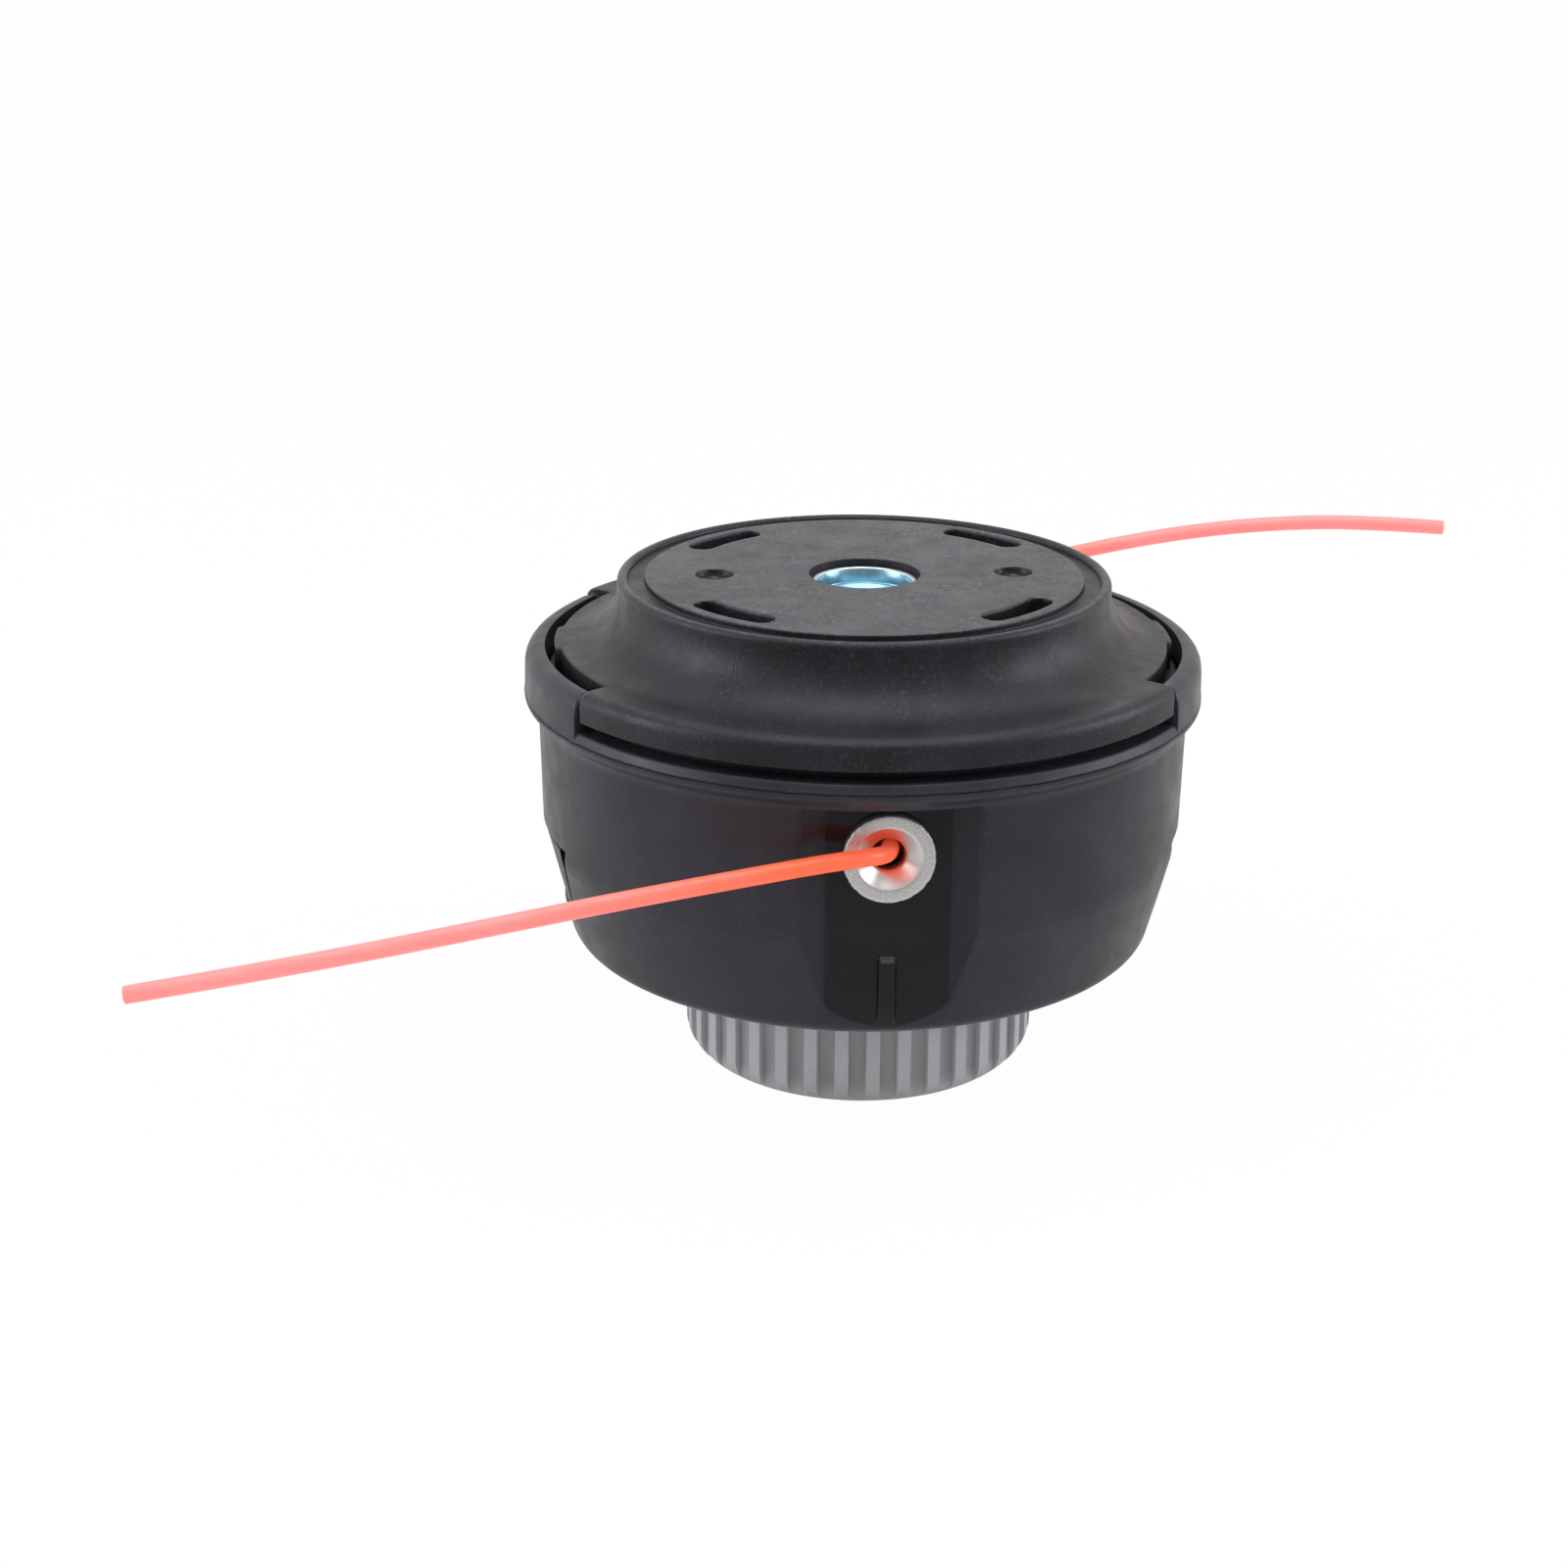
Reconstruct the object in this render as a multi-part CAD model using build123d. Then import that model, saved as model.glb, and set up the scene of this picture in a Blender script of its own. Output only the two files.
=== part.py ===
from build123d import *
import os
from math import asin, degrees, pi, radians, sqrt, tan

# Line trimmer head of the bump-feed kind, wound by twisting its knob.
# Millimetres. The origin is the middle of the knob's underside, +Z runs up through the drive thread.
# The line eyelets face -Y and +Y, the two latches that hold the cup face -X and +X.

# Overall heights and the widest ring, at the cup's parting line
body_d = 110.0
dome_h = 17.9
cup_h = 41.6
knob_drop = 22.0

# Cup: flared rim, drafted wall, conical lower wall
flare_out = 2.2
flare_h = 3.5
wall_draft = 0.3
cone_h = 17.7
cone_in = 4.6
foot_round = 2.2
cup_wall = 2.2
cup_floor = 2.4
lip_h = 1.2
lip_in = 0.6
lip_wall = 1.6
panel_roof = 1.6

# Ears of the cup, beside the latches
ear_half = 32.4
ear_h = 7.0
ear_wall = 3.6
ear_lean = 0.3
ear_round = 2.8

# Recessed panel round each eyelet, with its moulded rib
panel_depth = 4.3
panel_half = 9.35
panel_bevel = 6.6
rib_w = 2.6
rib_h = 13.0
rib_out = 0.9

# Latch windows in the cup and the tongues of the upper housing that snap into them
window_top_half = 19.9
window_foot_half = 15.3
window_h = 13.7
window_rise = 2.0
tongue_wall = 1.8
pad_side_gap = 3.2
pad_gap = 0.5
pad_slant = 19.0
bulge_half = 6.0
bulge_out = 0.9

# Upper housing: top disc, ridge, cove, flange and skirts
disc_groove_w = 2.6
disc_groove_d = 1.0
ridge_r = 39.8
ridge_w = 1.8
ridge_h = 1.5
cove_r = 8.7
roof = 2.8
dome_wall = 2.2
skirt_in = 0.5
skirt_edge = 2.0
skirt_gap = 1.7
skirt_end_gap = 0.3
ear_slot = 2.3
slot_r = 31.3
slot_half = 14.2
slot_w = 4.2
slot_angle = 45.0
slot_corner = 1.6
mark_r = 24.2
mark_d = 6.2
mark_depth = 0.9
mark_nub_d = 1.6

# Drive insert and the post it is moulded into
bore_d = 18.0
insert_d = 17.0
insert_sink = 1.1
insert_len = 22.0
counterbore_d = 15.0
counterbore_depth = 2.5
counterbore_cone = 2.4
thread_d = 10.0
thread_pitch = 1.0
thread_depth_ratio = 1.0825
post_wall = 3.0

# Line eyelets
eyelet_drop = 12.25
eyelet_d = 14.0
eyelet_flange = 1.5
eyelet_hole = 5.0
eyelet_mouth = 10.0
eyelet_mouth_depth = 2.2
eyelet_wall = 1.7
eyelet_stand = 0.6

# Spool, its drive dogs and the bump travel
bump_travel = 6.0
flange_t = 2.0
divider_t = 1.6
hub_r = 21.0
hub_wall = 2.4
web_t = 3.0
web_rise = 9.0
bearing_h = 3.0
dog_count = 12
dog_h = 2.4
dog_half = 5.0
dog_w = 5.5
lower_dog_r = 36.0
upper_dog_r = 27.0
wound_r = 37.0

# Bump knob
knob_r = 29.3
knob_rib_count = 36
knob_rib_w = 2.3
knob_rib_depth = 1.0
knob_round = 2.8
knob_rib_round = 4.4
knob_wall = 2.6
knob_floor = 3.0
hook_h = 2.0
hook_out = 0.6
hook_slot = 4.0

# Spring and its seat
spring_wire = 1.8
spring_turns = 5
seat_t = 1.0

# Nylon line
line_d = 2.7

# Clearances
running_gap = 0.7
bearing_gap = 0.4
fit_gap = 0.3
press_gap = 0.05
dog_tip_gap = 0.3
dog_side_gap = 0.6
spool_gap = 2.2

# How far a cutting or joining shape runs past the face it meets
overrun = 1.0

# Derived heights
cup_z = knob_drop
rim_z = cup_z + cup_h
top_z = rim_z + dome_h
cone_z = cup_z + cone_h
lip_z = rim_z + lip_h
panel_top = rim_z - flare_h
ledge_z = panel_top + panel_roof
floor_z = cup_z + cup_floor
eyelet_z = rim_z - eyelet_drop
window_top = cone_z + window_rise
window_foot = window_top - window_h
skirt_z = lip_z + skirt_gap
cove_z = top_z - ridge_h
flange_z = cove_z - cove_r
ceiling_z = top_z - roof
insert_top = top_z - insert_sink
insert_foot = insert_top - insert_len

# Derived radii
rim_r = body_d / 2
wall_top_r = rim_r - flare_out
wall_low_r = wall_top_r - wall_draft
foot_r = wall_low_r - cone_in
bore_low_r = wall_low_r - cup_wall
bore_top_r = wall_top_r - lip_wall
opening_r = knob_r + running_gap
panel_d = wall_low_r - panel_depth
panel_back = panel_d - cup_wall
ear_in_r = rim_r - ear_wall
skirt_r = rim_r - skirt_in
spigot_r = bore_top_r - fit_gap
cove_mid_r = ridge_r + cove_r
cove_in_r = cove_r + dome_wall
spigot_in_r = spigot_r - dome_wall
disc_r = ridge_r - ridge_w - disc_groove_w
ear_edge_r = ear_in_r - ear_slot
flange_in_r = ear_edge_r - dome_wall
tongue_r = bore_low_r - fit_gap
window_in = foot_r - 2 * cup_wall
post_r = insert_d / 2 + post_wall
thread_minor_r = (thread_d - thread_depth_ratio * thread_pitch) / 2
spool_r = panel_back - spool_gap
hub_bore_r = hub_r - hub_wall

# Derived stack inside the housing, at rest: the lower dogs are engaged
lower_flange_z = floor_z + dog_tip_gap + dog_h
web_z = lower_flange_z + web_rise
seat_z = web_z + web_t
cove_clear_z = cove_z - sqrt(cove_in_r ** 2 - (cove_mid_r - spool_r - running_gap) ** 2)
upper_flange_top = cove_clear_z - fit_gap - bump_travel
upper_dog_foot = upper_flange_top + bump_travel + dog_tip_gap
dog_carrier_z = upper_dog_foot + dog_h + dog_tip_gap
upper_flange_z = upper_flange_top - flange_t
divider_z = (lower_flange_z + flange_t + upper_flange_z) / 2 - divider_t / 2
post_foot = web_z - bearing_h
spring_r = (post_r + hub_bore_r) / 2
spring_z = seat_z + seat_t

# Routes of the two loose line ends, from inside the eyelet to the cut end
front_route = [
    (0.5, -44.9, 51.6),
    (0.2, -48.4, 51.9),
    (-2.4, -52.2, 52.9),
    (-9.5, -54.6, 53.0),
    (-23.0, -56.9, 51.6),
    (-40.0, -58.5, 49.2),
    (-58.0, -59.2, 45.9),
    (-76.0, -59.0, 42.3),
    (-94.0, -58.8, 39.0),
    (-110.0, -58.4, 36.2),
]
rear_route = [
    (-0.5, 44.9, 51.6),
    (-0.2, 48.4, 51.9),
    (2.6, 52.6, 54.2),
    (9.8, 57.0, 57.8),
    (22.0, 61.0, 62.0),
    (36.0, 64.4, 65.4),
    (52.0, 66.6, 68.4),
    (69.0, 68.0, 70.8),
    (86.0, 68.0, 72.2),
    (102.0, 67.0, 72.4),
    (116.0, 65.6, 71.6),
]


def turned(sketch, sweep=360.0):
    """Turn a radius-height sketch about Z. A part turn is centred on +X."""
    solid = revolve(Plane.XZ * sketch, axis=Axis.Z, revolution_arc=sweep)
    if sweep < 360.0:
        solid = Rot(0, 0, -sweep / 2) * solid
    return solid


def polygon(*points):
    return make_face(Polyline(*points, close=True))


def tube(inner, outer, low, high):
    return Pos(0, 0, low) * extrude(Circle(outer) - Circle(inner), high - low)


def disc(radius, low, high):
    return Pos(0, 0, low) * extrude(Circle(radius), high - low)


def block(x0, x1, y0, y1, z0, z1):
    middle = Pos((x0 + x1) / 2, (y0 + y1) / 2, (z0 + z1) / 2)
    return middle * Box(x1 - x0, y1 - y0, z1 - z0)


def both_sides(shape, first_angle):
    """The same shape at two opposite sides, the first at the given angle from +X."""
    return [Rot(0, 0, first_angle + turn) * shape for turn in (0, 180)]


def dog_ring(radius, low, high, phase):
    """A ring of drive dogs: short sectors with radial faces."""
    section = polygon(
        (radius - dog_w / 2, low),
        (radius + dog_w / 2, low),
        (radius + dog_w / 2, high),
        (radius - dog_w / 2, high),
    )
    dog = turned(section, 2 * dog_half)
    return [Rot(0, 0, phase + i * 360 / dog_count) * dog for i in range(dog_count)]


def cup_outline():
    """Outer form of the cup, as a full turned solid without its bore."""
    section = polygon(
        (0, cup_z),
        (foot_r, cup_z),
        (wall_low_r, cone_z),
        (wall_top_r, panel_top),
        (rim_r, rim_z - flare_out / 2),
        (rim_r, rim_z),
        (rim_r - lip_in, lip_z),
        (0, lip_z),
    )
    corner = section.vertices().sort_by_distance((foot_r, cup_z))[0]
    section = fillet(corner, foot_round)
    flare_foot = section.vertices().sort_by_distance((wall_top_r, panel_top))[0]
    return turned(fillet(flare_foot, flare_h / 2))


def cup_bore():
    """Room inside the cup: conical below, then the wall, then the wider spigot bore."""
    return turned(polygon(
        (0, floor_z),
        (foot_r - cup_wall, floor_z),
        (bore_low_r, cone_z),
        (bore_low_r, ledge_z),
        (bore_top_r, ledge_z),
        (bore_top_r, lip_z + lip_h),
        (0, lip_z + lip_h),
    ))


def panel_prism(depth, low, high):
    """Recess with bevelled sides, cut from outside towards +X to the given distance from the axis."""
    reach = rim_r - depth
    spread = panel_half + panel_bevel * reach / panel_depth
    outline = polygon(
        (depth, -panel_half),
        (rim_r, -spread),
        (rim_r, spread),
        (depth, panel_half),
    )
    return Pos(0, 0, low) * extrude(outline, high - low)


def ear_section():
    lean_r = rim_r - ear_lean
    section = polygon(
        (ear_in_r, rim_z - lip_h),
        (rim_r, rim_z - lip_h),
        (rim_r, rim_z),
        (lean_r, rim_z + ear_h),
        (ear_in_r, rim_z + ear_h),
    )
    top_corner = section.vertices().sort_by_distance((lean_r, rim_z + ear_h))[0]
    return fillet(top_corner, min(ear_round, 0.9 * (ear_wall - ear_lean)))


def latch_prism(gap, low, high):
    """Block towards +X with the latch window's slanted sides, less a gap at each side."""
    slope = (window_top_half - window_foot_half) / window_h
    low_half = window_foot_half + slope * (low - window_foot) - gap
    high_half = window_foot_half + slope * (high - window_foot) - gap
    outline = polygon((-low_half, low), (low_half, low), (high_half, high), (-high_half, high))
    face = Plane(origin=(window_in, 0, 0), x_dir=(0, 1, 0), z_dir=(1, 0, 0)) * outline
    return extrude(face, rim_r - window_in)


def lower_cup():
    outline = cup_outline()
    wall = outline - cup_bore()
    backing = panel_prism(panel_back, cup_z, ledge_z)
    wall += [piece & outline for piece in both_sides(backing, 90)]
    wall -= both_sides(panel_prism(panel_d, cup_z - overrun, panel_top), 90)
    rib = block(panel_d - overrun, panel_d + rib_out, -rib_w / 2, rib_w / 2, cup_z, cup_z + rib_h)
    wall += [piece & outline for piece in both_sides(rib, 90)]
    wall += both_sides(turned(ear_section(), 2 * ear_half), 0)
    wall -= both_sides(latch_prism(0, window_foot, window_top), 0)
    hole_r = eyelet_hole / 2 + eyelet_wall + press_gap
    through = Plane(origin=(0, 0, eyelet_z), z_dir=(1, 0, 0)) * extrude(Circle(hole_r), rim_r)
    wall -= both_sides(through, 90)
    wall -= disc(opening_r, cup_z - overrun, floor_z + overrun)
    wall += dog_ring(lower_dog_r, floor_z, floor_z + dog_h, 2 * dog_half + dog_side_gap)
    return wall


def dome_section():
    """Section of the upper housing from the axis to the skirt, with the spigot that enters the cup."""
    crest_z = top_z - ridge_w / 2
    diagonal = sqrt(0.5)
    inner_start_z = cove_z - sqrt(cove_in_r ** 2 - (cove_mid_r - flange_in_r) ** 2)
    step_z = skirt_z - dome_wall
    inner_end_r = cove_mid_r - sqrt(cove_in_r ** 2 - (cove_z - ceiling_z) ** 2)
    groove_out_r = disc_r + disc_groove_w
    edges = [
        Line((0, top_z), (disc_r, top_z)),
        Line((disc_r, top_z), (disc_r, top_z - disc_groove_d)),
        Line((disc_r, top_z - disc_groove_d), (groove_out_r, top_z - disc_groove_d)),
        Line((groove_out_r, top_z - disc_groove_d), (groove_out_r, crest_z)),
        ThreePointArc((groove_out_r, crest_z), (ridge_r - ridge_w / 2, top_z), (ridge_r, crest_z)),
        Line((ridge_r, crest_z), (ridge_r, cove_z)),
        ThreePointArc(
            (ridge_r, cove_z),
            (cove_mid_r - cove_r * diagonal, cove_z - cove_r * diagonal),
            (cove_mid_r, flange_z),
        ),
        Line((cove_mid_r, flange_z), (skirt_r - skirt_edge, flange_z)),
        RadiusArc((skirt_r - skirt_edge, flange_z), (skirt_r, flange_z - skirt_edge), skirt_edge),
        Line((skirt_r, flange_z - skirt_edge), (skirt_r, skirt_z)),
        Line((skirt_r, skirt_z), (spigot_r, skirt_z)),
        Line((spigot_r, skirt_z), (spigot_r, ledge_z)),
        Line((spigot_r, ledge_z), (spigot_in_r, ledge_z)),
        Line((spigot_in_r, ledge_z), (flange_in_r, step_z)),
        Line((flange_in_r, step_z), (flange_in_r, inner_start_z)),
        ThreePointArc(
            (flange_in_r, inner_start_z),
            (cove_mid_r - cove_in_r * diagonal, cove_z - cove_in_r * diagonal),
            (inner_end_r, ceiling_z),
        ),
        Line((inner_end_r, ceiling_z), (0, ceiling_z)),
        Line((0, ceiling_z), (0, top_z)),
    ]
    return make_face(edges)


def ear_clearance():
    """What is cut off the flange and skirts beside one ear, leaving the tongue's bulge."""
    cut = turned(polygon(
        (ear_edge_r, skirt_z),
        (rim_r + ear_wall, skirt_z),
        (rim_r + ear_wall, top_z),
        (ear_edge_r, top_z),
    ), 2 * (ear_half + skirt_end_gap))
    bulge = block(0, rim_r, -bulge_half, bulge_half, skirt_z, top_z)
    return cut - (bulge & disc(ear_edge_r + bulge_out, skirt_z, top_z))


def latch_tongue():
    """Tongue inside the cup wall with the slanted pad that shows in its window."""
    pad_top = window_top - pad_gap
    pad_foot = window_foot + pad_gap
    pad_top_r = wall_low_r - pad_gap / 2
    foot = max(pad_top_r - (pad_top - pad_foot) * tan(radians(pad_slant)), tongue_r - tongue_wall / 2)
    section = polygon(
        (tongue_r - tongue_wall, ledge_z + fit_gap),
        (tongue_r, ledge_z + fit_gap),
        (tongue_r, pad_top),
        (pad_top_r, pad_top),
        (foot, pad_foot),
        (tongue_r - tongue_wall, pad_foot),
    )
    half_angle = degrees(asin((window_top_half - pad_side_gap) / tongue_r))
    return turned(section, 2 * half_angle) & latch_prism(pad_side_gap, window_foot, lip_z)


def sink_mark():
    ring = Circle(mark_d / 2) - Circle(mark_nub_d / 2)
    return Pos(mark_r, 0, top_z - mark_depth) * extrude(ring, mark_depth)


def roof_slot():
    """One curved slot through the roof, centred on +X, with rounded ends."""
    slot = turned(polygon(
        (slot_r - slot_w / 2, ceiling_z - overrun),
        (slot_r + slot_w / 2, ceiling_z - overrun),
        (slot_r + slot_w / 2, top_z + overrun),
        (slot_r - slot_w / 2, top_z + overrun),
    ), 2 * slot_half)
    return fillet(slot.edges().filter_by(Axis.Z), slot_corner)


def upper_housing():
    shell = turned(dome_section())
    shell -= both_sides(ear_clearance(), 0)
    shell += both_sides(latch_tongue(), 0)
    shell += disc(post_r, post_foot, ceiling_z + roof / 2)
    shell += tube(upper_dog_r - dog_w / 2, upper_dog_r + dog_w / 2, dog_carrier_z, ceiling_z + roof / 2)
    shell += dog_ring(upper_dog_r, upper_dog_foot, dog_carrier_z, 3 * dog_half)
    shell -= disc(bore_d / 2, insert_top, top_z)
    shell -= disc(insert_d / 2 + press_gap, insert_foot, insert_top)
    shell -= disc(insert_d / 2 - post_wall / 2, post_foot - overrun, insert_foot)
    slot = roof_slot()
    for quarter in range(4):
        shell -= Rot(0, 0, slot_angle + 90 * quarter) * slot
    shell -= both_sides(sink_mark(), 0)
    return shell


def thread_insert():
    """Steel insert with its counterbore, lead-in cone and the bore of the drive thread."""
    seat = insert_top - counterbore_depth
    return turned(polygon(
        (thread_minor_r, insert_foot),
        (insert_d / 2, insert_foot),
        (insert_d / 2, insert_top),
        (counterbore_d / 2, insert_top),
        (counterbore_d / 2, seat),
        (thread_minor_r, seat - counterbore_cone),
    ))


def eyelet():
    """Turned eyelet along +X: flange on the panel, conical mouth, barrel through the wall."""
    face = panel_d + eyelet_flange
    barrel_r = eyelet_hole / 2 + eyelet_wall
    section = polygon(
        (eyelet_hole / 2, panel_back - eyelet_stand),
        (barrel_r, panel_back - eyelet_stand),
        (barrel_r, panel_d),
        (eyelet_d / 2, panel_d),
        (eyelet_d / 2, face),
        (eyelet_mouth / 2, face),
        (eyelet_hole / 2, face - eyelet_mouth_depth),
    )
    outer_edge = section.vertices().sort_by_distance((eyelet_d / 2, face))[0]
    section = fillet(outer_edge, eyelet_flange / 2)
    body = revolve(Plane.XZ * section, axis=Axis.Z)
    return Pos(0, 0, eyelet_z) * Rot(0, 90, 0) * body


def spool():
    hub = tube(hub_bore_r, hub_r, lower_flange_z, upper_flange_top)
    hub += tube(hub_bore_r, spool_r, lower_flange_z, lower_flange_z + flange_t)
    hub += tube(hub_r - hub_wall / 2, spool_r, divider_z, divider_z + divider_t)
    hub += tube(hub_bore_r, spool_r, upper_flange_z, upper_flange_top)
    hub += tube(post_r + bearing_gap, hub_bore_r + hub_wall / 2, web_z, seat_z)
    hub += dog_ring(lower_dog_r, lower_flange_z - dog_h, lower_flange_z, 0)
    hub += dog_ring(upper_dog_r, upper_flange_top, upper_flange_top + dog_h, 0)
    hub -= tube(hub_bore_r, hub_bore_r + hook_out + fit_gap, web_z - hook_h - fit_gap, web_z)
    return hub


def wound_line(low, high):
    """One compartment's wound line as a solid with a rounded turn in each row."""
    rows = int((high - low) / line_d)
    pitch = (high - low - 2 * fit_gap) / rows
    start = low + fit_gap
    inner = hub_r + press_gap
    edges = [Line((inner, start + rows * pitch), (inner, start)), Line((inner, start), (wound_r, start))]
    for row in range(rows):
        foot = start + row * pitch
        crest = (wound_r + pitch / 3, foot + pitch / 2)
        edges.append(ThreePointArc((wound_r, foot), crest, (wound_r, foot + pitch)))
    edges.append(Line((wound_r, start + rows * pitch), (inner, start + rows * pitch)))
    return turned(make_face(edges))


def rounded_plug(radius, edge):
    """A disc from the ground to the spool with a rounded lower edge."""
    section = polygon((0, 0), (radius, 0), (radius, lower_flange_z), (0, lower_flange_z))
    foot = section.vertices().sort_by_distance((radius, 0))[0]
    return turned(fillet(foot, edge))


def bump_knob():
    """Hollow ribbed knob with the hooked tube that snaps into the spool's hub."""
    core_r = knob_r - knob_rib_depth
    body = rounded_plug(core_r, knob_round)
    envelope = rounded_plug(knob_r, knob_rib_round)
    half_w = knob_rib_w / 2
    bar = block(core_r - overrun, knob_r + overrun, -half_w, half_w, 0, lower_flange_z)
    rib = bar & envelope
    body += [Rot(0, 0, i * 360 / knob_rib_count) * rib for i in range(knob_rib_count)]
    body -= disc(core_r - knob_wall, knob_floor, lower_flange_z)
    sleeve_r = hub_bore_r - fit_gap
    hook_top = web_z - fit_gap
    sleeve = turned(polygon(
        (sleeve_r - knob_wall, knob_floor / 2),
        (sleeve_r, knob_floor / 2),
        (sleeve_r, hook_top - hook_h),
        (sleeve_r + hook_out, hook_top - hook_h),
        (sleeve_r, hook_top),
        (sleeve_r - knob_wall, hook_top),
    ))
    for quarter in range(2):
        slot = block(-hub_r, hub_r, -hook_slot / 2, hook_slot / 2, lower_flange_z, hook_top)
        sleeve -= Rot(0, 0, 90 * quarter) * slot
    return body + sleeve


def spring_seat():
    return tube(post_r + bearing_gap, hub_bore_r - fit_gap, seat_z, seat_z + seat_t)


def bump_spring():
    wire_r = spring_wire / 2
    height = ceiling_z - spring_z - spring_wire
    coil = Helix(height / spring_turns, height, spring_r)
    start = Pos(0, 0, spring_z + wire_r) * coil
    section = Plane(start @ 0, z_dir=start % 0) * Circle(wire_r)
    return sweep(section, path=start, is_frenet=True)


def route_radii(route):
    """Largest tangent arc at each inner point: 0.45 of the shorter run over the tangent of half the turn."""
    radii = []
    for before, here, after in zip(route, route[1:], route[2:]):
        arriving = Vector(here) - Vector(before)
        leaving = Vector(after) - Vector(here)
        turn = radians(arriving.get_angle(leaving))
        radii.append(0.45 * min(arriving.length, leaving.length) / tan(turn / 2))
    return radii


def line_end(name, route):
    radii = route_radii(route)
    path = FilletPolyline(*route, radius=radii)
    section = Plane(path @ 0, z_dir=path % 0) * Circle(line_d / 2)
    solid = sweep(section, path=path)
    ideal = pi * line_d ** 2 / 4 * path.length
    print(name, "length", round(path.length, 1), "volume ratio", round(solid.volume / ideal, 4))
    print(name, "radii", [round(radius, 1) for radius in radii])
    return solid


def build():
    lower_room = (lower_flange_z + flange_t, divider_z)
    upper_room = (divider_z + divider_t, upper_flange_z)
    front_eyelet, rear_eyelet = both_sides(eyelet(), -90)
    return {
        "upper_housing": upper_housing(),
        "thread_insert": thread_insert(),
        "lower_cup": lower_cup(),
        "eyelet_front": front_eyelet,
        "eyelet_rear": rear_eyelet,
        "spool": spool(),
        "wound_line_lower": wound_line(*lower_room),
        "wound_line_upper": wound_line(*upper_room),
        "bump_knob": bump_knob(),
        "bump_spring": bump_spring(),
        "spring_seat": spring_seat(),
        "line_front": line_end("line_front", front_route),
        "line_rear": line_end("line_rear", rear_route),
    }


os.makedirs("parts", exist_ok=True)
for node, solid in build().items():
    export_step(solid, f"parts/{node}.step")
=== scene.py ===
"""Looks of the trimmer head: moulded shells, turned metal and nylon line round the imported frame."""
from math import atan2, cos, pi, radians, sin, sqrt, tan

import bmesh
import bpy
import numpy as np
from mathutils import Matrix, Vector


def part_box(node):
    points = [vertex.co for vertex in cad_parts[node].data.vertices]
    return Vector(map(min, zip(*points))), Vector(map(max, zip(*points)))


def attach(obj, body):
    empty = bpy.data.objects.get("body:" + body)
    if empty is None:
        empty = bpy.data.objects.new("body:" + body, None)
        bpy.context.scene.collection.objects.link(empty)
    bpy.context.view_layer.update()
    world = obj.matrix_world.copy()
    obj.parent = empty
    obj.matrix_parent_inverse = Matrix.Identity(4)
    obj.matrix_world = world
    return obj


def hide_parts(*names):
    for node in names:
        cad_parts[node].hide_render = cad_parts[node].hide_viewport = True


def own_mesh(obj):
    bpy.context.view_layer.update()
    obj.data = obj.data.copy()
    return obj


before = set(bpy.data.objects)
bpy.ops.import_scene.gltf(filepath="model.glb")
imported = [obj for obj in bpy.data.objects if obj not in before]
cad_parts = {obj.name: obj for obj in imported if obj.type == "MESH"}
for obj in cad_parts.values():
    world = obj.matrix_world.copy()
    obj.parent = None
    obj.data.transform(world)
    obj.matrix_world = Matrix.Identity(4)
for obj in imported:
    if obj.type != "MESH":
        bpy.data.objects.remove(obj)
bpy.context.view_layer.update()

# Lengths are in millimetres, as in the part's own source, and become metres in add_piece
MM = 0.001


def box_mm(node):
    low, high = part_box(node)
    return [value / MM for value in low], [value / MM for value in high]


# Places read from the frame
cup_low, cup_high = box_mm("lower_cup")
dome_low, dome_high = box_mm("upper_housing")
insert_low, insert_high = box_mm("thread_insert")
eyelet_low, eyelet_high = box_mm("eyelet_rear")
knob_high = box_mm("bump_knob")[1]
spool_high = box_mm("spool")[1]
spring_low, spring_high = box_mm("bump_spring")

rim_r = cup_high[0]
cup_z = cup_low[2]
ear_top = cup_high[2]
top_z = dome_high[2]
post_foot = dome_low[2]
insert_r = insert_high[0]
insert_foot = insert_low[2]
insert_top = insert_high[2]
eyelet_r = eyelet_high[0]
eyelet_z = (eyelet_low[2] + eyelet_high[2]) / 2
eyelet_face = eyelet_high[1]
eyelet_back = eyelet_low[1]
knob_top = knob_high[2]
ceiling_z = spring_high[2]
seat_top = spring_low[2]

# Cup
rim_z = 63.6
flare_out = 2.2
flare_h = 3.5
wall_draft = 0.3
cone_z = 39.7
cone_in = 4.6
foot_round = 2.2
cup_wall = 2.2
floor_z = 24.4
lip_h = 1.2
lip_in = 0.6
lip_wall = 1.6
panel_depth = 4.3
panel_half = 9.35
panel_bevel = 6.6
panel_edge = 15.0
panel_span = 20.0
rib_w = 2.6
rib_h = 13.0
rib_out = 0.9
window_half = 22.3
window_foot_half = 18.0
window_reach = 40.0
window_foot = 28.0
window_top = 41.7
ear_half = 32.4
ear_wall = 3.6
ear_round = 2.8
ear_end_round = 1.2
flash_out = 0.16
split_angle = 15.6
split_out = 0.08
edge_round = 0.35

wall_top_r = rim_r - flare_out
wall_low_r = wall_top_r - wall_draft
foot_r = wall_low_r - cone_in
bore_low_r = wall_low_r - cup_wall
bore_top_r = wall_top_r - lip_wall
panel_top = rim_z - flare_h
ledge_z = panel_top + 1.6
panel_d = wall_low_r - panel_depth
lip_z = rim_z + lip_h
ear_in_r = rim_r - ear_wall
opening_r = 30.0

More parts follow.
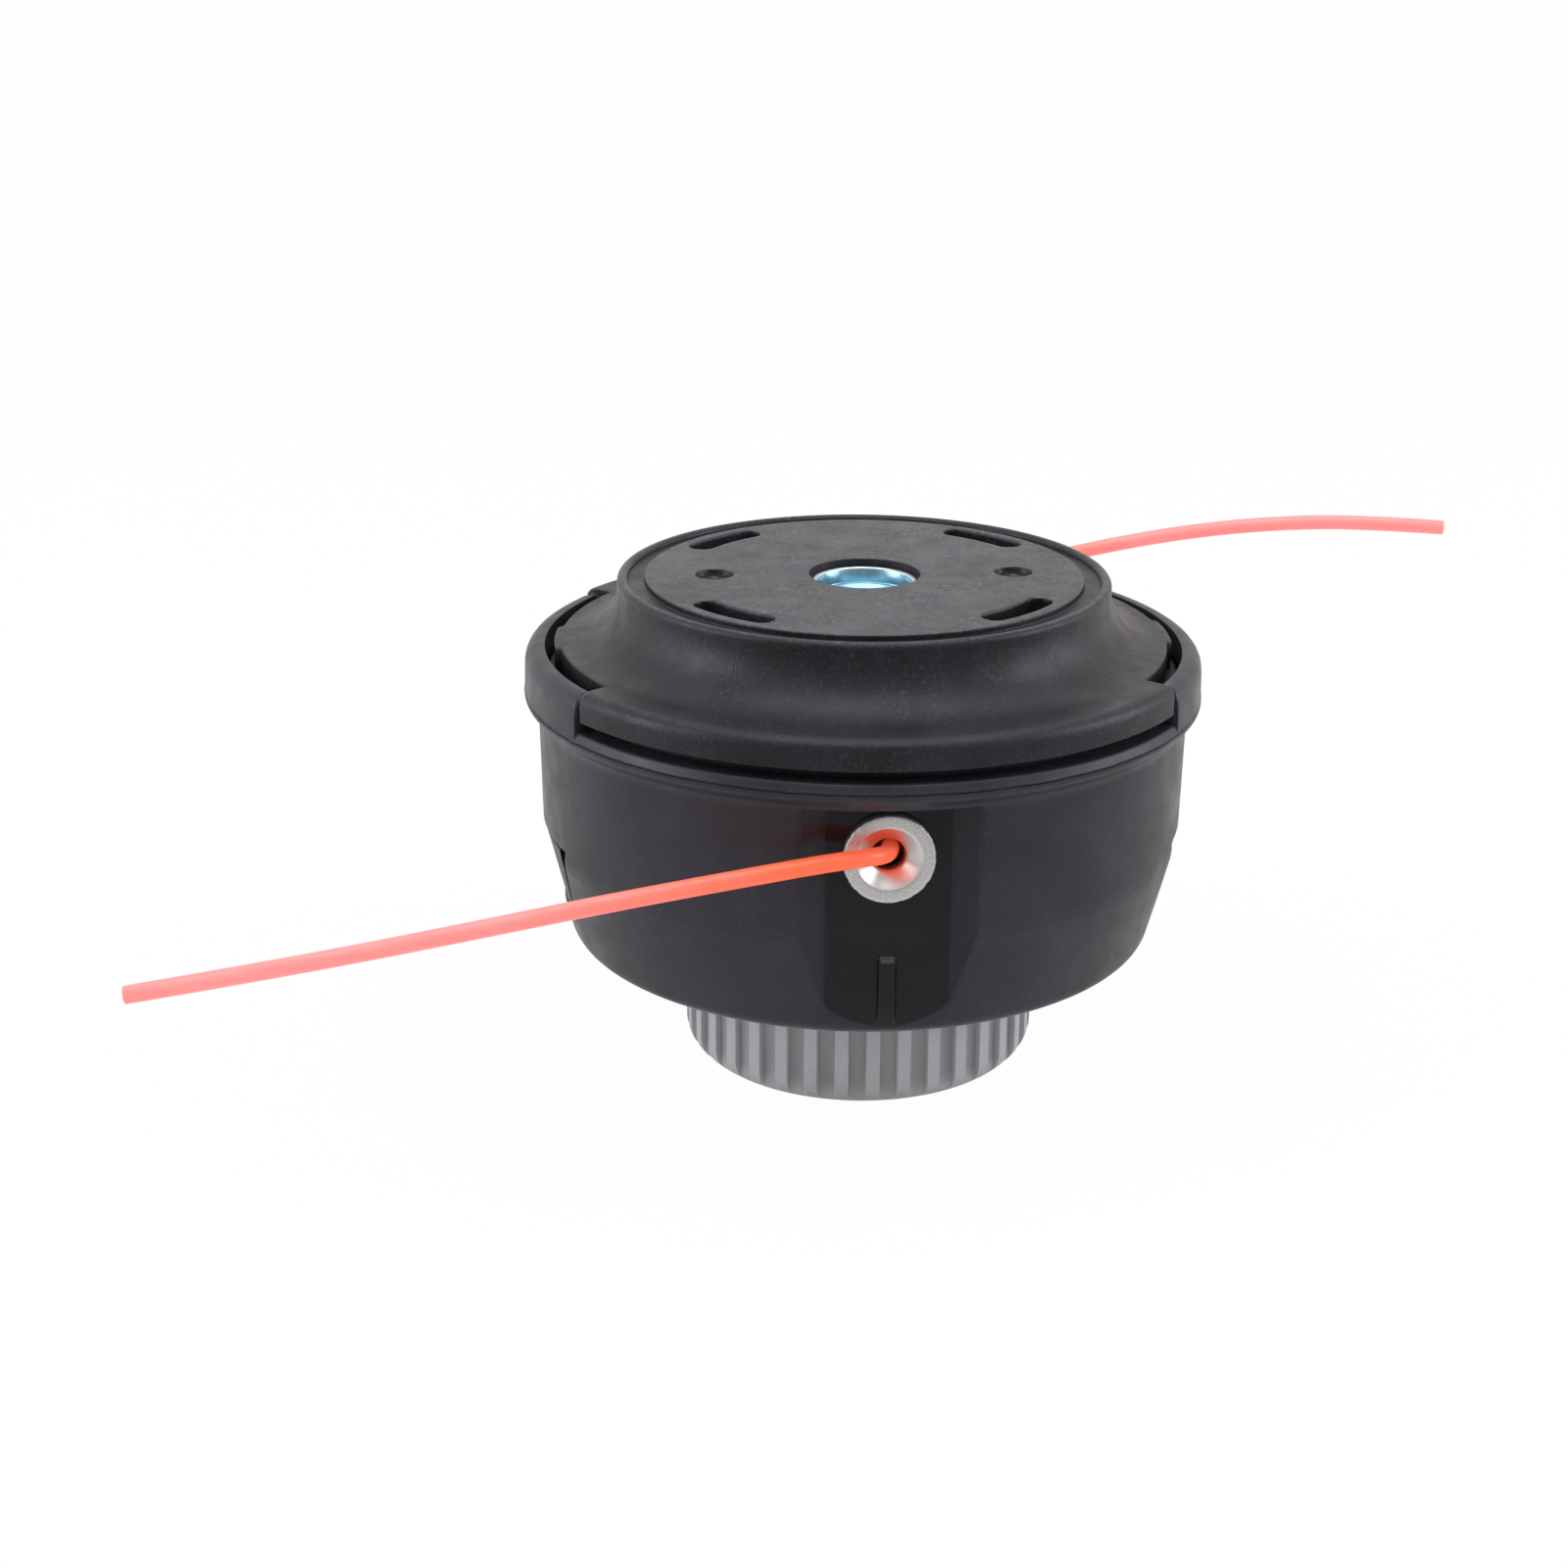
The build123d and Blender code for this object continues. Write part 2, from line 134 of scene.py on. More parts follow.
# Upper housing
ridge_r = 39.8
ridge_w = 1.8
ridge_h = 1.5
groove_w = 2.6
groove_d = 1.0
cove_r = 8.7
dome_wall = 2.2
skirt_r = rim_r - 0.5
skirt_edge = 2.3
skirt_z = lip_z + 1.7
skirt_end_gap = 0.3
ear_edge_r = ear_in_r - 2.3
spigot_r = bore_top_r - 0.3
bulge_half = 6.0
bulge_out = 0.9
slot_r = 31.3
slot_half = 14.2
slot_w = 4.2
slot_angle = 45.0
slot_corner = 2.0
slot_lip = 0.2
mark_r = 24.2
mark_d = 6.2
mark_depth = 0.9
mark_nub_d = 1.6
mark_nub_share = 0.4
bore_r = 9.0
post_r = insert_r + 3.0
post_bore_r = insert_r - 1.5
dog_r = 27.0
dog_w = 5.5
dog_h = 2.4
dog_half = 5.0
dog_count = 12
dog_gap = 0.3
bump_travel = 6.0
lower_dog_r = 36.0
tongue_r = bore_low_r - 0.3
tongue_wall = 1.8
pad_gap = 0.5
pad_half = 18.6
pad_foot_half = 14.3
pad_slant = 19.0

disc_r = ridge_r - ridge_w - groove_w
cove_z = top_z - ridge_h
cove_mid_r = ridge_r + cove_r
flange_z = cove_z - cove_r
spigot_in_r = spigot_r - dome_wall
flange_in_r = ear_edge_r - dome_wall
dog_tip = spool_high[2] + bump_travel + dog_gap - dog_h

# Knob, eyelet, insert and spring
knob_r = 29.3
knob_core_r = 28.3
knob_ribs = 36
knob_rib_w = 2.3
knob_scoop = 0.2
knob_round = 2.8
knob_rib_round = 4.4
knob_body_top = 27.1
knob_floor = 3.0
knob_wall = 2.6
sleeve_r = 18.3
eyelet_hole_r = 2.5
eyelet_mouth_r = 5.0
eyelet_mouth_depth = 2.2
eyelet_flange = 1.5
eyelet_barrel_r = 4.2
counterbore_r = 7.5
counterbore_depth = 2.5
counterbore_cone = 2.4
thread_minor_r = 4.459
thread_depth = 0.5
thread_pitch = 1.0
spring_r = 15.05
spring_wire_r = 0.9
spring_turns = 5

# Nylon line
line_d = 2.7
# The line's colour turns from deep to pale between these distances from the axis, as painted light.
line_shaded_x = 14.0
line_lit_x = 58.0
front_route = [
    (0.5, -44.9, 51.6),
    (0.2, -48.4, 51.9),
    (-2.4, -52.2, 52.9),
    (-9.5, -54.6, 53.0),
    (-23.0, -56.9, 51.6),
    (-40.0, -58.5, 49.2),
    (-58.0, -59.2, 45.9),
    (-76.0, -59.0, 42.3),
    (-94.0, -58.8, 39.0),
    (-110.0, -58.4, 36.2),
]
rear_route = [
    (-0.5, 44.9, 51.6),
    (-0.2, 48.4, 51.9),
    (2.6, 52.6, 54.2),
    (9.8, 57.0, 57.8),
    (22.0, 61.0, 62.0),
    (36.0, 64.4, 65.4),
    (52.0, 66.6, 68.4),
    (69.0, 68.0, 70.8),
    (86.0, 68.0, 72.2),
    (102.0, 67.0, 72.4),
    (116.0, 65.6, 71.6),
]

# Camera, as read from the photograph's perspective
eye_distance = 400.0
eye_azimuth = -5.0
eye_height = 190.2
eye_pitch = 0.34761
eye_roll = 0.01485
lens_mm = 58.786
sensor_mm = 36.0
shift_x = -0.0494


# Outlines: lines of (radius, height) points

def arc(centre, radius, start, end, steps=12):
    """Points on an arc, with the angles in degrees from the outward direction."""
    turn = np.radians(np.linspace(start, end, steps + 1))
    return np.column_stack([centre[0] + radius * np.cos(turn), centre[1] + radius * np.sin(turn)])


def rounded(*corners, steps=5):
    """Line through corners given as (r, z) or (r, z, round), with each round drawn as a short curve."""
    points = []
    for i, corner in enumerate(corners):
        here = np.array(corner[:2])
        if len(corner) < 3 or i in (0, len(corners) - 1):
            points.append(here)
            continue
        back = np.array(corners[i - 1][:2]) - here
        ahead = np.array(corners[i + 1][:2]) - here
        reach_back = min(corner[2], 0.85 * np.linalg.norm(back)) / np.linalg.norm(back)
        reach_ahead = min(corner[2], 0.85 * np.linalg.norm(ahead)) / np.linalg.norm(ahead)
        for t in np.linspace(0, 1, steps + 1):
            points.append(here + back * reach_back * (1 - t) ** 2 + ahead * reach_ahead * t ** 2)
    return np.array(points)


def refined(points, longest):
    """The same line with extra points, so that no stretch is longer than the given length."""
    result = [points[0]]
    for start, end in zip(points, points[1:]):
        count = max(1, int(np.ceil(np.linalg.norm(end - start) / longest)))
        result.extend(start + (end - start) * (k + 1) / count for k in range(count))
    return np.array(result)


def resampled(points, count):
    """The same line as a fixed number of evenly spaced points."""
    steps = np.linalg.norm(np.diff(points, axis=0), axis=1)
    along = np.concatenate([[0], np.cumsum(steps)])
    places = np.linspace(0, along[-1], count)
    return np.column_stack([np.interp(places, along, points[:, k]) for k in (0, 1)])


def smooth_step(low, high, value):
    t = np.clip((value - low) / (high - low), 0, 1)
    return t * t * (3 - 2 * t)


def smooth_min(a, b, blend):
    """The lesser of two surfaces, with a fillet of about the given size where they meet."""
    h = np.clip(0.5 + 0.5 * (b - a) / blend, 0, 1)
    return b + (a - b) * h - blend * h * (1 - h)


def smooth_max(a, b, blend):
    return -smooth_min(-a, -b, blend)


def spread(values, least):
    """The values in order, without those closer than the least step to the one before."""
    kept = []
    for value in np.unique(np.round(values, 4)):
        if not kept or value - kept[-1] > least:
            kept.append(value)
    return np.array(kept)


def columns(step, *ranges):
    """Angles in degrees for a full turn, with finer steps in the given (middle, reach, step) ranges."""
    angles = [np.arange(0, 360, step)]
    for middle, reach, fine in ranges:
        angles.append(np.arange(middle - reach, middle + reach + fine / 2, fine) % 360)
    return spread(np.concatenate(angles), 0.04)


def four_ways(offset):
    """An angle on both sides of -X and +X."""
    return [side + sign * offset for side in (0, 180) for sign in (-1, 1)]


def side_angle(angles, centre):
    """Signed degrees from the nearest of two opposite directions."""
    return (angles - centre + 90) % 180 - 90


def wobble(angles, seed, waves):
    """Uneven values from -1 to 1 round a full turn, the same each time."""
    draw = np.random.default_rng(seed)
    total = np.zeros_like(angles)
    for _ in range(waves):
        total += np.sin(np.radians(angles) * draw.integers(20, 260) + draw.uniform(0, 2 * pi))
    return np.clip(total / sqrt(waves), -1.5, 1.5) / 1.5


# Meshes

def new_object(name, data):
    item = bpy.data.objects.new(name, data)
    bpy.context.scene.collection.objects.link(item)
    return item


def add_piece(name, vertices, faces, body, slot, material, nodes=(), sharp=38):
    """A mesh object in metres that rides on a body, with smooth faces split at sharp edges."""
    mesh = bpy.data.meshes.new(name)
    mesh.from_pydata([tuple(point) for point in np.asarray(vertices) * MM], [], [tuple(f) for f in faces])
    work = bmesh.new()
    work.from_mesh(mesh)
    bmesh.ops.remove_doubles(work, verts=work.verts, dist=2e-6)
    bmesh.ops.dissolve_degenerate(work, edges=work.edges, dist=1e-6)
    bmesh.ops.recalc_face_normals(work, faces=work.faces)
    work.to_mesh(mesh)
    work.free()
    mesh.polygons.foreach_set("use_smooth", [True] * len(mesh.polygons))
    mesh.set_sharp_from_angle(angle=radians(sharp))
    mesh.materials.append(material)
    piece = new_object(name, mesh)
    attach(piece, body)
    if nodes:
        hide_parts(*nodes)
    return piece


def grid_points(radius, height, angles):
    turn = np.radians(angles)
    return np.stack([radius * np.cos(turn), radius * np.sin(turn), height], -1).reshape(-1, 3)


def spun(profile, count):
    """Radius and height of each profile point, repeated for a number of columns."""
    return np.repeat(profile[:, :1], count, 1), np.repeat(profile[:, 1:], count, 1)


def quad(row, below, column, after, count):
    """Corner numbers of one face between two rows and two columns."""
    return row * count + column, row * count + after, below * count + after, below * count + column


def grid_faces(rows, count, holes=()):
    """Quads of a closed ring of rows. A hole joins an outer and an inner block of rows through the wall."""
    keep = np.ones((rows, count), bool)
    faces = []
    for outer, inner, places in holes:
        depth = outer[1] - outer[0]
        for k in places:
            keep[outer[0]:outer[1], k % count] = False
            keep[inner[1]:inner[0], k % count] = False
            for a, b in ((outer[0], inner[0]), (outer[1], inner[1])):
                after = (k + 1) % count
                faces.append(quad(a, b, k % count, after, count))
        for k in (places[0], places[-1] + 1):
            edge = k % count
            for step in range(depth):
                out, inn = outer[0] + step, inner[0] - step
                faces.append((out * count + edge, (out + 1) * count + edge,
                              (inn - 1) * count + edge, inn * count + edge))
    for i in range(rows):
        below = (i + 1) % rows
        for j in np.flatnonzero(keep[i]):
            after = (j + 1) % count
            faces.append(quad(i, below, j, after, count))
    return faces


def sector(profile, middle, half, steps=8):
    """Vertices and faces of a closed profile turned through a part turn, with capped ends.

    The half angle is one number, or one for each point of the profile.
    """
    rows, count = len(profile), steps + 1
    angles = middle + np.broadcast_to(half, rows)[:, None] * np.linspace(-1, 1, count)
    radius, height = spun(profile, count)
    faces = []
    for i in range(rows):
        below = (i + 1) % rows
        faces.extend(quad(i, below, j, j + 1, count) for j in range(count - 1))
    faces.append(tuple(i * count for i in range(rows)))
    faces.append(tuple(i * count + count - 1 for i in reversed(range(rows))))
    return grid_points(radius, height, angles), faces


def joined(*shells):
    """Several (vertices, faces) shells as one."""
    vertices, faces, offset = [], [], 0
    for points, polygons in shells:
        vertices.append(points)
        faces.extend(tuple(index + offset for index in polygon) for polygon in polygons)
        offset += len(points)
    return np.vstack(vertices), faces


def nearest(values, target):
    return int(np.argmin(np.abs(np.asarray(values) - target)))


def dog_shells(radius, low, high, phase):
    section = np.array([
        (radius - dog_w / 2, low),
        (radius + dog_w / 2, low),
        (radius + dog_w / 2, high),
        (radius - dog_w / 2, high),
    ])
    return [sector(section, phase + k * 360 / dog_count, dog_half, 4) for k in range(dog_count)]


# Materials

def shader(name, colour, roughness, metallic=0.0):
    material = bpy.data.materials.new(name)
    material.use_nodes = True
    tree = material.node_tree
    surface = tree.nodes["Principled BSDF"]
    surface.inputs["Base Color"].default_value = (*colour, 1)
    surface.inputs["Roughness"].default_value = roughness
    surface.inputs["Metallic"].default_value = metallic
    return material, tree, surface


def noise_node(tree, scale, detail=2.0, stretch=(1, 1, 1)):
    """Noise in the part's own frame, with the scale in cells per metre."""
    coordinates = tree.nodes.new("ShaderNodeTexCoord")
    mapping = tree.nodes.new("ShaderNodeMapping")
    mapping.inputs["Scale"].default_value = stretch
    texture = tree.nodes.new("ShaderNodeTexNoise")
    texture.inputs["Scale"].default_value = scale
    texture.inputs["Detail"].default_value = detail
    tree.links.new(coordinates.outputs["Object"], mapping.inputs["Vector"])
    tree.links.new(mapping.outputs["Vector"], texture.inputs["Vector"])
    return texture


def ramp_node(tree, source, *stops):
    """Colour ramp over a noise, from (place, colour) stops."""
    ramp = tree.nodes.new("ShaderNodeValToRGB")
    while len(ramp.color_ramp.elements) < len(stops):
        ramp.color_ramp.elements.new(0.5)
    for element, (place, colour) in zip(ramp.color_ramp.elements, stops):
        element.position = place
        element.color = (*colour, 1)
    tree.links.new(source.outputs["Fac"], ramp.inputs["Fac"])
    return ramp


def map_node(tree, value, start, end, low=0.0, high=1.0):
    """A value mapped from one range to another, held at both ends."""
    mapped = tree.nodes.new("ShaderNodeMapRange")
    for name, number in zip(("From Min", "From Max", "To Min", "To Max"), (start, end, low, high)):
        mapped.inputs[name].default_value = number
    tree.links.new(value, mapped.inputs["Value"])
    return mapped.outputs["Result"]


def range_node(tree, source, low, high):
    """Maps a noise's middle range to the given values."""
    return map_node(tree, source.outputs["Fac"], 0.3, 0.7, low, high)


def bump_node(tree, surface, texture, strength, height):
    """Fine relief from a noise, with the height in mm and a number or a socket as its strength."""
    bump = tree.nodes.new("ShaderNodeBump")
    bump.inputs["Distance"].default_value = height * MM
    if isinstance(strength, float):
        bump.inputs["Strength"].default_value = strength
    else:
        tree.links.new(strength, bump.inputs["Strength"])
    tree.links.new(texture.outputs["Fac"], bump.inputs["Height"])
    tree.links.new(bump.outputs["Normal"], surface.inputs["Normal"])


def place_parts(tree):
    """Sockets with the X, Y and Z of the point in the part's frame, in metres."""
    coordinates = tree.nodes.new("ShaderNodeTexCoord")
    parts = tree.nodes.new("ShaderNodeSeparateXYZ")
    tree.links.new(coordinates.outputs["Object"], parts.inputs[0])
    return parts.outputs


def fade_node(tree, value, start, end):
    """0 below the start and 1 above the end, in millimetres, or the other way round."""
    return map_node(tree, value, start * MM, end * MM)


def math_node(tree, operation, *values):
    node = tree.nodes.new("ShaderNodeMath")
    node.operation = operation
    for socket, value in zip(node.inputs, values):
        tree.links.new(value, socket)
    return node.outputs[0]


def axis_distance(tree, x, y):
    """Distance from the turning axis."""
    squares = [math_node(tree, "MULTIPLY", value, value) for value in (x, y)]
    return math_node(tree, "SQRT", math_node(tree, "ADD", *squares))


def valley_shade_mask(tree):
    """1 in the valleys between the knob's ribs, where a darker grey is painted shade."""
    x, y, z = place_parts(tree)
    sunk = fade_node(tree, axis_distance(tree, x, y), knob_core_r + 0.4, knob_core_r + 0.1)
    return math_node(tree, "MULTIPLY", sunk, fade_node(tree, z, 1.0, knob_rib_round))


def panel_mask(tree):
    """1 on the recessed eyelet panels: near the middle and inside the turned wall."""
    x, y, z = place_parts(tree)
    across = math_node(tree, "ABSOLUTE", x)
    middle = fade_node(tree, across, panel_edge + 0.6, panel_edge + 0.5)
    bevel = map_node(tree, across, panel_half * MM, (panel_half + 0.2) * MM, 1.0, 0.5)
    rib = fade_node(tree, across, rib_w / 2 + 0.35, rib_w / 2 + 0.25)
    away = axis_distance(tree, x, y)
    wall = map_node(tree, z, cup_z * MM, cone_z * MM, foot_r * MM, wall_low_r * MM)
    sunk = fade_node(tree, math_node(tree, "SUBTRACT", wall, away), 0.12, 0.2)
    below = fade_node(tree, z, panel_top, panel_top - 0.3)
    above = fade_node(tree, z, cup_z + 1.0, cup_z + 1.4)
    sunk = math_node(tree, "MAXIMUM", sunk, rib)
    inside = math_node(tree, "MULTIPLY", math_node(tree, "MULTIPLY", middle, bevel), sunk)
    return math_node(tree, "MULTIPLY", inside, math_node(tree, "MULTIPLY", below, above))


def disc_dust_and_light_mask(tree):
    """1 on the top disc and the crest of its ridge, which take a lighter, flecked finish: partly dust, partly
    painted light on the upward face.
    """
    z = place_parts(tree)["Z"]
    return fade_node(tree, z, top_z - 0.25, top_z - 0.05)


def slot_shade_mask(tree):
    """1 inside the roof's slots, whose walls lose their shine as painted shade."""
    x, y, z = place_parts(tree)
    away = axis_distance(tree, x, y)
    within = fade_node(tree, away, disc_r - 0.3, disc_r - 0.5)
    outside = fade_node(tree, away, slot_r - 0.8 * slot_w, slot_r - 0.7 * slot_w)
    below = fade_node(tree, z, top_z - 0.25, top_z - 0.5)
    return math_node(tree, "MULTIPLY", math_node(tree, "MULTIPLY", within, outside), below)


def mix_node(tree, kind, factor, first, second, blend="MIX"):
    """Mix of two sockets, with a socket or a plain number as the factor."""
    mix = tree.nodes.new("ShaderNodeMix")
    mix.data_type = kind
    mix.blend_type = blend
    sockets = [socket for socket in mix.inputs if socket.enabled]
    if isinstance(factor, float):
        sockets[0].default_value = factor
    else:
        tree.links.new(factor, sockets[0])
    tree.links.new(first, sockets[1])
    tree.links.new(second, sockets[2])
    return next(socket for socket in mix.outputs if socket.enabled)


def finish_sockets(tree, noises, finish):
    """Colour, roughness and grain of one finish: cloudy base, pale flecks in patches, uneven sheen."""
    cloud, speck, patch, sheen = noises
    base = ramp_node(tree, cloud, (0.35, finish["dark"]), (0.7, finish["light"]))
    flecks = ramp_node(tree, speck, (0.52, (0, 0, 0)), (0.78, finish["fleck"]))
    where = ramp_node(tree, patch, (0.35, (0.25, 0.25, 0.25)), (0.65, (1, 1, 1)))
    patchy = mix_node(tree, "RGBA", 1.0, flecks.outputs["Color"], where.outputs["Color"], "MULTIPLY")
    colour = mix_node(tree, "RGBA", 1.0, base.outputs["Color"], patchy, "ADD")
    rough = range_node(tree, sheen, *finish["rough"])
    return colour, rough


def moulded_plastic(name, finish, grain, shine=0.3, other=None, where=None, shaded=None):
    """Moulded plastic with a fine grain. Another finish can take over where a mask is 1.

    Where the shaded mask is 1, the surface loses its shine, as painted shade.
    """
    material, tree, surface = shader(name, finish["dark"], finish["rough"][1])
    surface.inputs["Specular IOR Level"].default_value = shine
    surface.inputs["Specular Tint"].default_value = (0.94, 0.92, 1.0, 1)
    if shaded:
        level = map_node(tree, shaded(tree), 0.0, 1.0, shine, 0.02)
        tree.links.new(level, surface.inputs["Specular IOR Level"])
    noises = [noise_node(tree, scale, 4) for scale in (90, 1600, 120, 240)]
    colour, rough = finish_sockets(tree, noises, finish)
    relief = finish["grain"]
    if other:
        mask = where(tree)
        other_colour, other_rough = finish_sockets(tree, noises, other)
        colour = mix_node(tree, "RGBA", mask, colour, other_colour)
        rough = mix_node(tree, "FLOAT", mask, rough, other_rough)
        relief = map_node(tree, mask, 0.0, 1.0, finish["grain"], other["grain"])
    tree.links.new(colour, surface.inputs["Base Color"])
    tree.links.new(rough, surface.inputs["Roughness"])
    bump_node(tree, surface, noise_node(tree, grain, 3), relief, 0.1)
    return material


def turned_metal(name, dark, light, rough_low, rough_high, grain_mm):
    """Metal with cloudy colour and roughness and fine tool marks."""
    material, tree, surface = shader(name, light, rough_high, 1.0)
    base = ramp_node(tree, noise_node(tree, 320, 4), (0.35, dark), (0.65, light))
    tree.links.new(base.outputs["Color"], surface.inputs["Base Color"])
    rough = range_node(tree, noise_node(tree, 900, 3), rough_low, rough_high)
    tree.links.new(rough, surface.inputs["Roughness"])
    bump_node(tree, surface, noise_node(tree, 2200, 3), 0.4, grain_mm)
    return material


def zinc_plate(name):
    """Blue zinc plating that turns pale and silvery on the flat rim."""
    material, tree, surface = shader(name, (0.2, 0.4, 0.5), 0.2, 1.0)
    z = place_parts(tree)["Z"]
    pale_rim = fade_node(tree, z, insert_top - 0.25, insert_top - 0.1)
    cloud = noise_node(tree, 420, 4)
    blue = ramp_node(tree, cloud, (0.35, (0.26, 0.49, 0.61)), (0.65, (0.36, 0.58, 0.69)))
    bright = ramp_node(tree, cloud, (0.35, (0.62, 0.70, 0.74)), (0.65, (0.84, 0.90, 0.92)))
    colour = mix_node(tree, "RGBA", pale_rim, blue.outputs["Color"], bright.outputs["Color"])
    tree.links.new(colour, surface.inputs["Base Color"])
    rough = range_node(tree, noise_node(tree, 900, 3), 0.26, 0.36)
    tree.links.new(rough, surface.inputs["Roughness"])
    return material


def eyelet_metal(name):
    """Aluminium with a matt speckled flange and a polished countersink."""
    material, tree, surface = shader(name, (0.8, 0.8, 0.8), 0.3, 1.0)
    coordinates = tree.nodes.new("ShaderNodeTexCoord")
    flat = tree.nodes.new("ShaderNodeMapping")
    flat.inputs["Location"].default_value = (0, 0, -eyelet_z * MM)
    flat.inputs["Scale"].default_value = (1, 0, 1)
    away = tree.nodes.new("ShaderNodeVectorMath")
    away.operation = "LENGTH"
    tree.links.new(coordinates.outputs["Object"], flat.inputs["Vector"])
    tree.links.new(flat.outputs["Vector"], away.inputs[0])
    matt = fade_node(tree, away.outputs["Value"], eyelet_mouth_r - 0.15, eyelet_mouth_r + 0.15)
    speck = noise_node(tree, 3400, 3)
    speckled = ramp_node(tree, speck, (0.36, (0.70, 0.70, 0.69)), (0.62, (0.93, 0.92, 0.91)))
    plain = ramp_node(tree, noise_node(tree, 200, 2), (0.3, (0.84, 0.83, 0.82)), (0.7, (0.92, 0.91, 0.90)))
    colour = mix_node(tree, "RGBA", matt, plain.outputs["Color"], speckled.outputs["Color"])
    tree.links.new(colour, surface.inputs["Base Color"])
    tree.links.new(map_node(tree, matt, 0.0, 1.0, 0.30, 0.48), surface.inputs["Roughness"])
    bump_node(tree, surface, speck, matt, 0.03)
    return material


def nylon(name, near, far, glow):
    """Nylon line with a painted glow, deep in colour at the head and paler towards its free ends: painted
    light, shaded beside the dark head and lit from all round further out.
    """
    material, tree, surface = shader(name, near, 0.35)
    x = place_parts(tree)["X"]
    out = fade_node(tree, math_node(tree, "ABSOLUTE", x), line_shaded_x, line_lit_x)
    ramp = tree.nodes.new("ShaderNodeValToRGB")
    ramp.color_ramp.elements[0].color = (*near, 1)
    ramp.color_ramp.elements[1].color = (*far, 1)
    tree.links.new(out, ramp.inputs["Fac"])
    grain = noise_node(tree, 900, 2, (0.04, 1, 1))
    streaks = ramp_node(tree, grain, (0.3, (0.90, 0.86, 0.86)), (0.7, (1, 1, 1)))
    colour = mix_node(tree, "RGBA", 1.0, ramp.outputs["Color"], streaks.outputs["Color"], "MULTIPLY")
    tree.links.new(colour, surface.inputs["Base Color"])
    tree.links.new(colour, surface.inputs["Emission Color"])
    surface.inputs["Emission Strength"].default_value = glow
    bump_node(tree, surface, noise_node(tree, 1400, 2, (0.05, 1, 1)), 0.3, 0.05)
    return material


def plastic_finish(dark, light, fleck, rough, grain, tint=(1, 0.97, 1.22)):
    """One plastic finish from grey levels, with a slightly blue base."""
    return {
        "dark": tuple(dark * share for share in tint),
        "light": tuple(light * share for share in tint),
        "fleck": (fleck, fleck, fleck),
        "rough": rough,
        "grain": grain,
    }


# Inside the roof's slots the walls lose their shine as painted shade.
# The top disc takes a lighter, flecked finish: partly dust, partly painted light on its upward face.
housing_black = moulded_plastic(
    "housing_black", plastic_finish(0.011, 0.019, 0.030, (0.36, 0.50), 0.55), 2600,
    other=plastic_finish(0.020, 0.032, 0.120, (0.34, 0.46), 0.34), where=disc_dust_and_light_mask, shaded=slot_shade_mask)
cup_black = moulded_plastic(
    "cup_black", plastic_finish(0.021, 0.028, 0.014, (0.34, 0.46), 0.22), 2200,
    other=plastic_finish(0.007, 0.009, 0.005, (0.10, 0.16), 0.02), where=panel_mask)
spool_black = moulded_plastic("spool_black", plastic_finish(0.012, 0.016, 0.03, (0.40, 0.50), 0.15), 2600)
knob_tint = (1, 0.99, 1.04)
# The knob's valleys take a darker copy of its grey as painted shade.
knob_grey = moulded_plastic(
    "knob_grey", plastic_finish(0.43, 0.48, 0.06, (0.45, 0.58), 0.12, knob_tint), 2400,
    other=plastic_finish(0.30, 0.34, 0.04, (0.45, 0.58), 0.12, knob_tint), where=valley_shade_mask)
zinc_steel = zinc_plate("zinc_steel")
eyelet_aluminium = eyelet_metal("eyelet_aluminium")
spring_steel = turned_metal("spring_steel", (0.30, 0.30, 0.31), (0.45, 0.45, 0.46), 0.25, 0.40, 0.01)
# The free line ends glow and pale out along their length as painted light.
nylon_line = nylon("nylon_line", (1.0, 0.13, 0.05), (1.0, 0.26, 0.25), 0.3)
# The wound line is a darker copy of the line's colour without glow, as painted shade inside the head.
shaded_wound_nylon = nylon("shaded_wound_nylon", (0.80, 0.09, 0.03), (0.80, 0.09, 0.03), 0.0)


# Lower cup

def panel_reach(angles):
    """Distance from the axis to the recessed panel: its floor, then its bevelled sides."""
    turn = np.radians(np.clip(np.abs(side_angle(angles, 90)), 0, 40))
    slope = panel_bevel / panel_depth
    floor = panel_d / np.cos(turn)
    bevel = (panel_half - slope * panel_d) / (np.sin(turn) - slope * np.cos(turn))
    return smooth_max(floor, bevel, 0.5)


def panel_rib(angles, height):
    """How far the moulded rib stands off the panel floor."""
    across = np.abs(np.sin(np.radians(side_angle(angles, 90)))) * panel_d
    width = 1 - smooth_step(rib_w / 2 - 0.25, rib_w / 2 + 0.25, across)
    length = 1 - smooth_step(cup_z + rib_h - 0.6, cup_z + rib_h + 0.3, height)
    return rib_out * width * length


def window_drop(angles, height):
    """Rounds the wall over into the latch windows."""
    beside = (np.abs(side_angle(angles, 0)) - window_half) * radians(1) * wall_low_r
    above = np.maximum(height - window_top, window_foot - height)
    away = np.hypot(np.maximum(beside, 0), np.maximum(above, 0))
    return edge_round * (1 - np.clip(away / edge_round, 0, 1)) ** 2


def window_taper(angles, height):
    """The angles drawn in beside the latch windows, which are narrower at the foot."""
    beside = side_angle(angles, 0)
    down = np.clip((window_top - height) / (window_top - window_foot), 0, 1)
    inside = np.abs(beside) / window_half
    outside = (window_reach - np.abs(beside)) / (window_reach - window_half)
    near = np.clip(np.minimum(inside, outside), 0, 1)
    return angles - np.sign(beside) * near * down * (window_half - window_foot_half)


def ear_height(angles):
    """0 beside the ears, 1 on them, with a rounded corner at each end."""
    inside = (ear_half - np.abs(side_angle(angles, 0))) * radians(1) * rim_r
    corner = np.clip(inside / ear_end_round, 0, 1)
    return np.where(inside < 0, 0, 0.83 + 0.17 * np.sqrt(1 - (1 - corner) ** 2))


def split_line(angles):
    """Thin ridges where the mould's slides met the wall, beside each panel."""
    beside = np.abs(np.abs(side_angle(angles, 90)) - split_angle)
    return split_out * np.exp(-(beside / 0.16) ** 2)


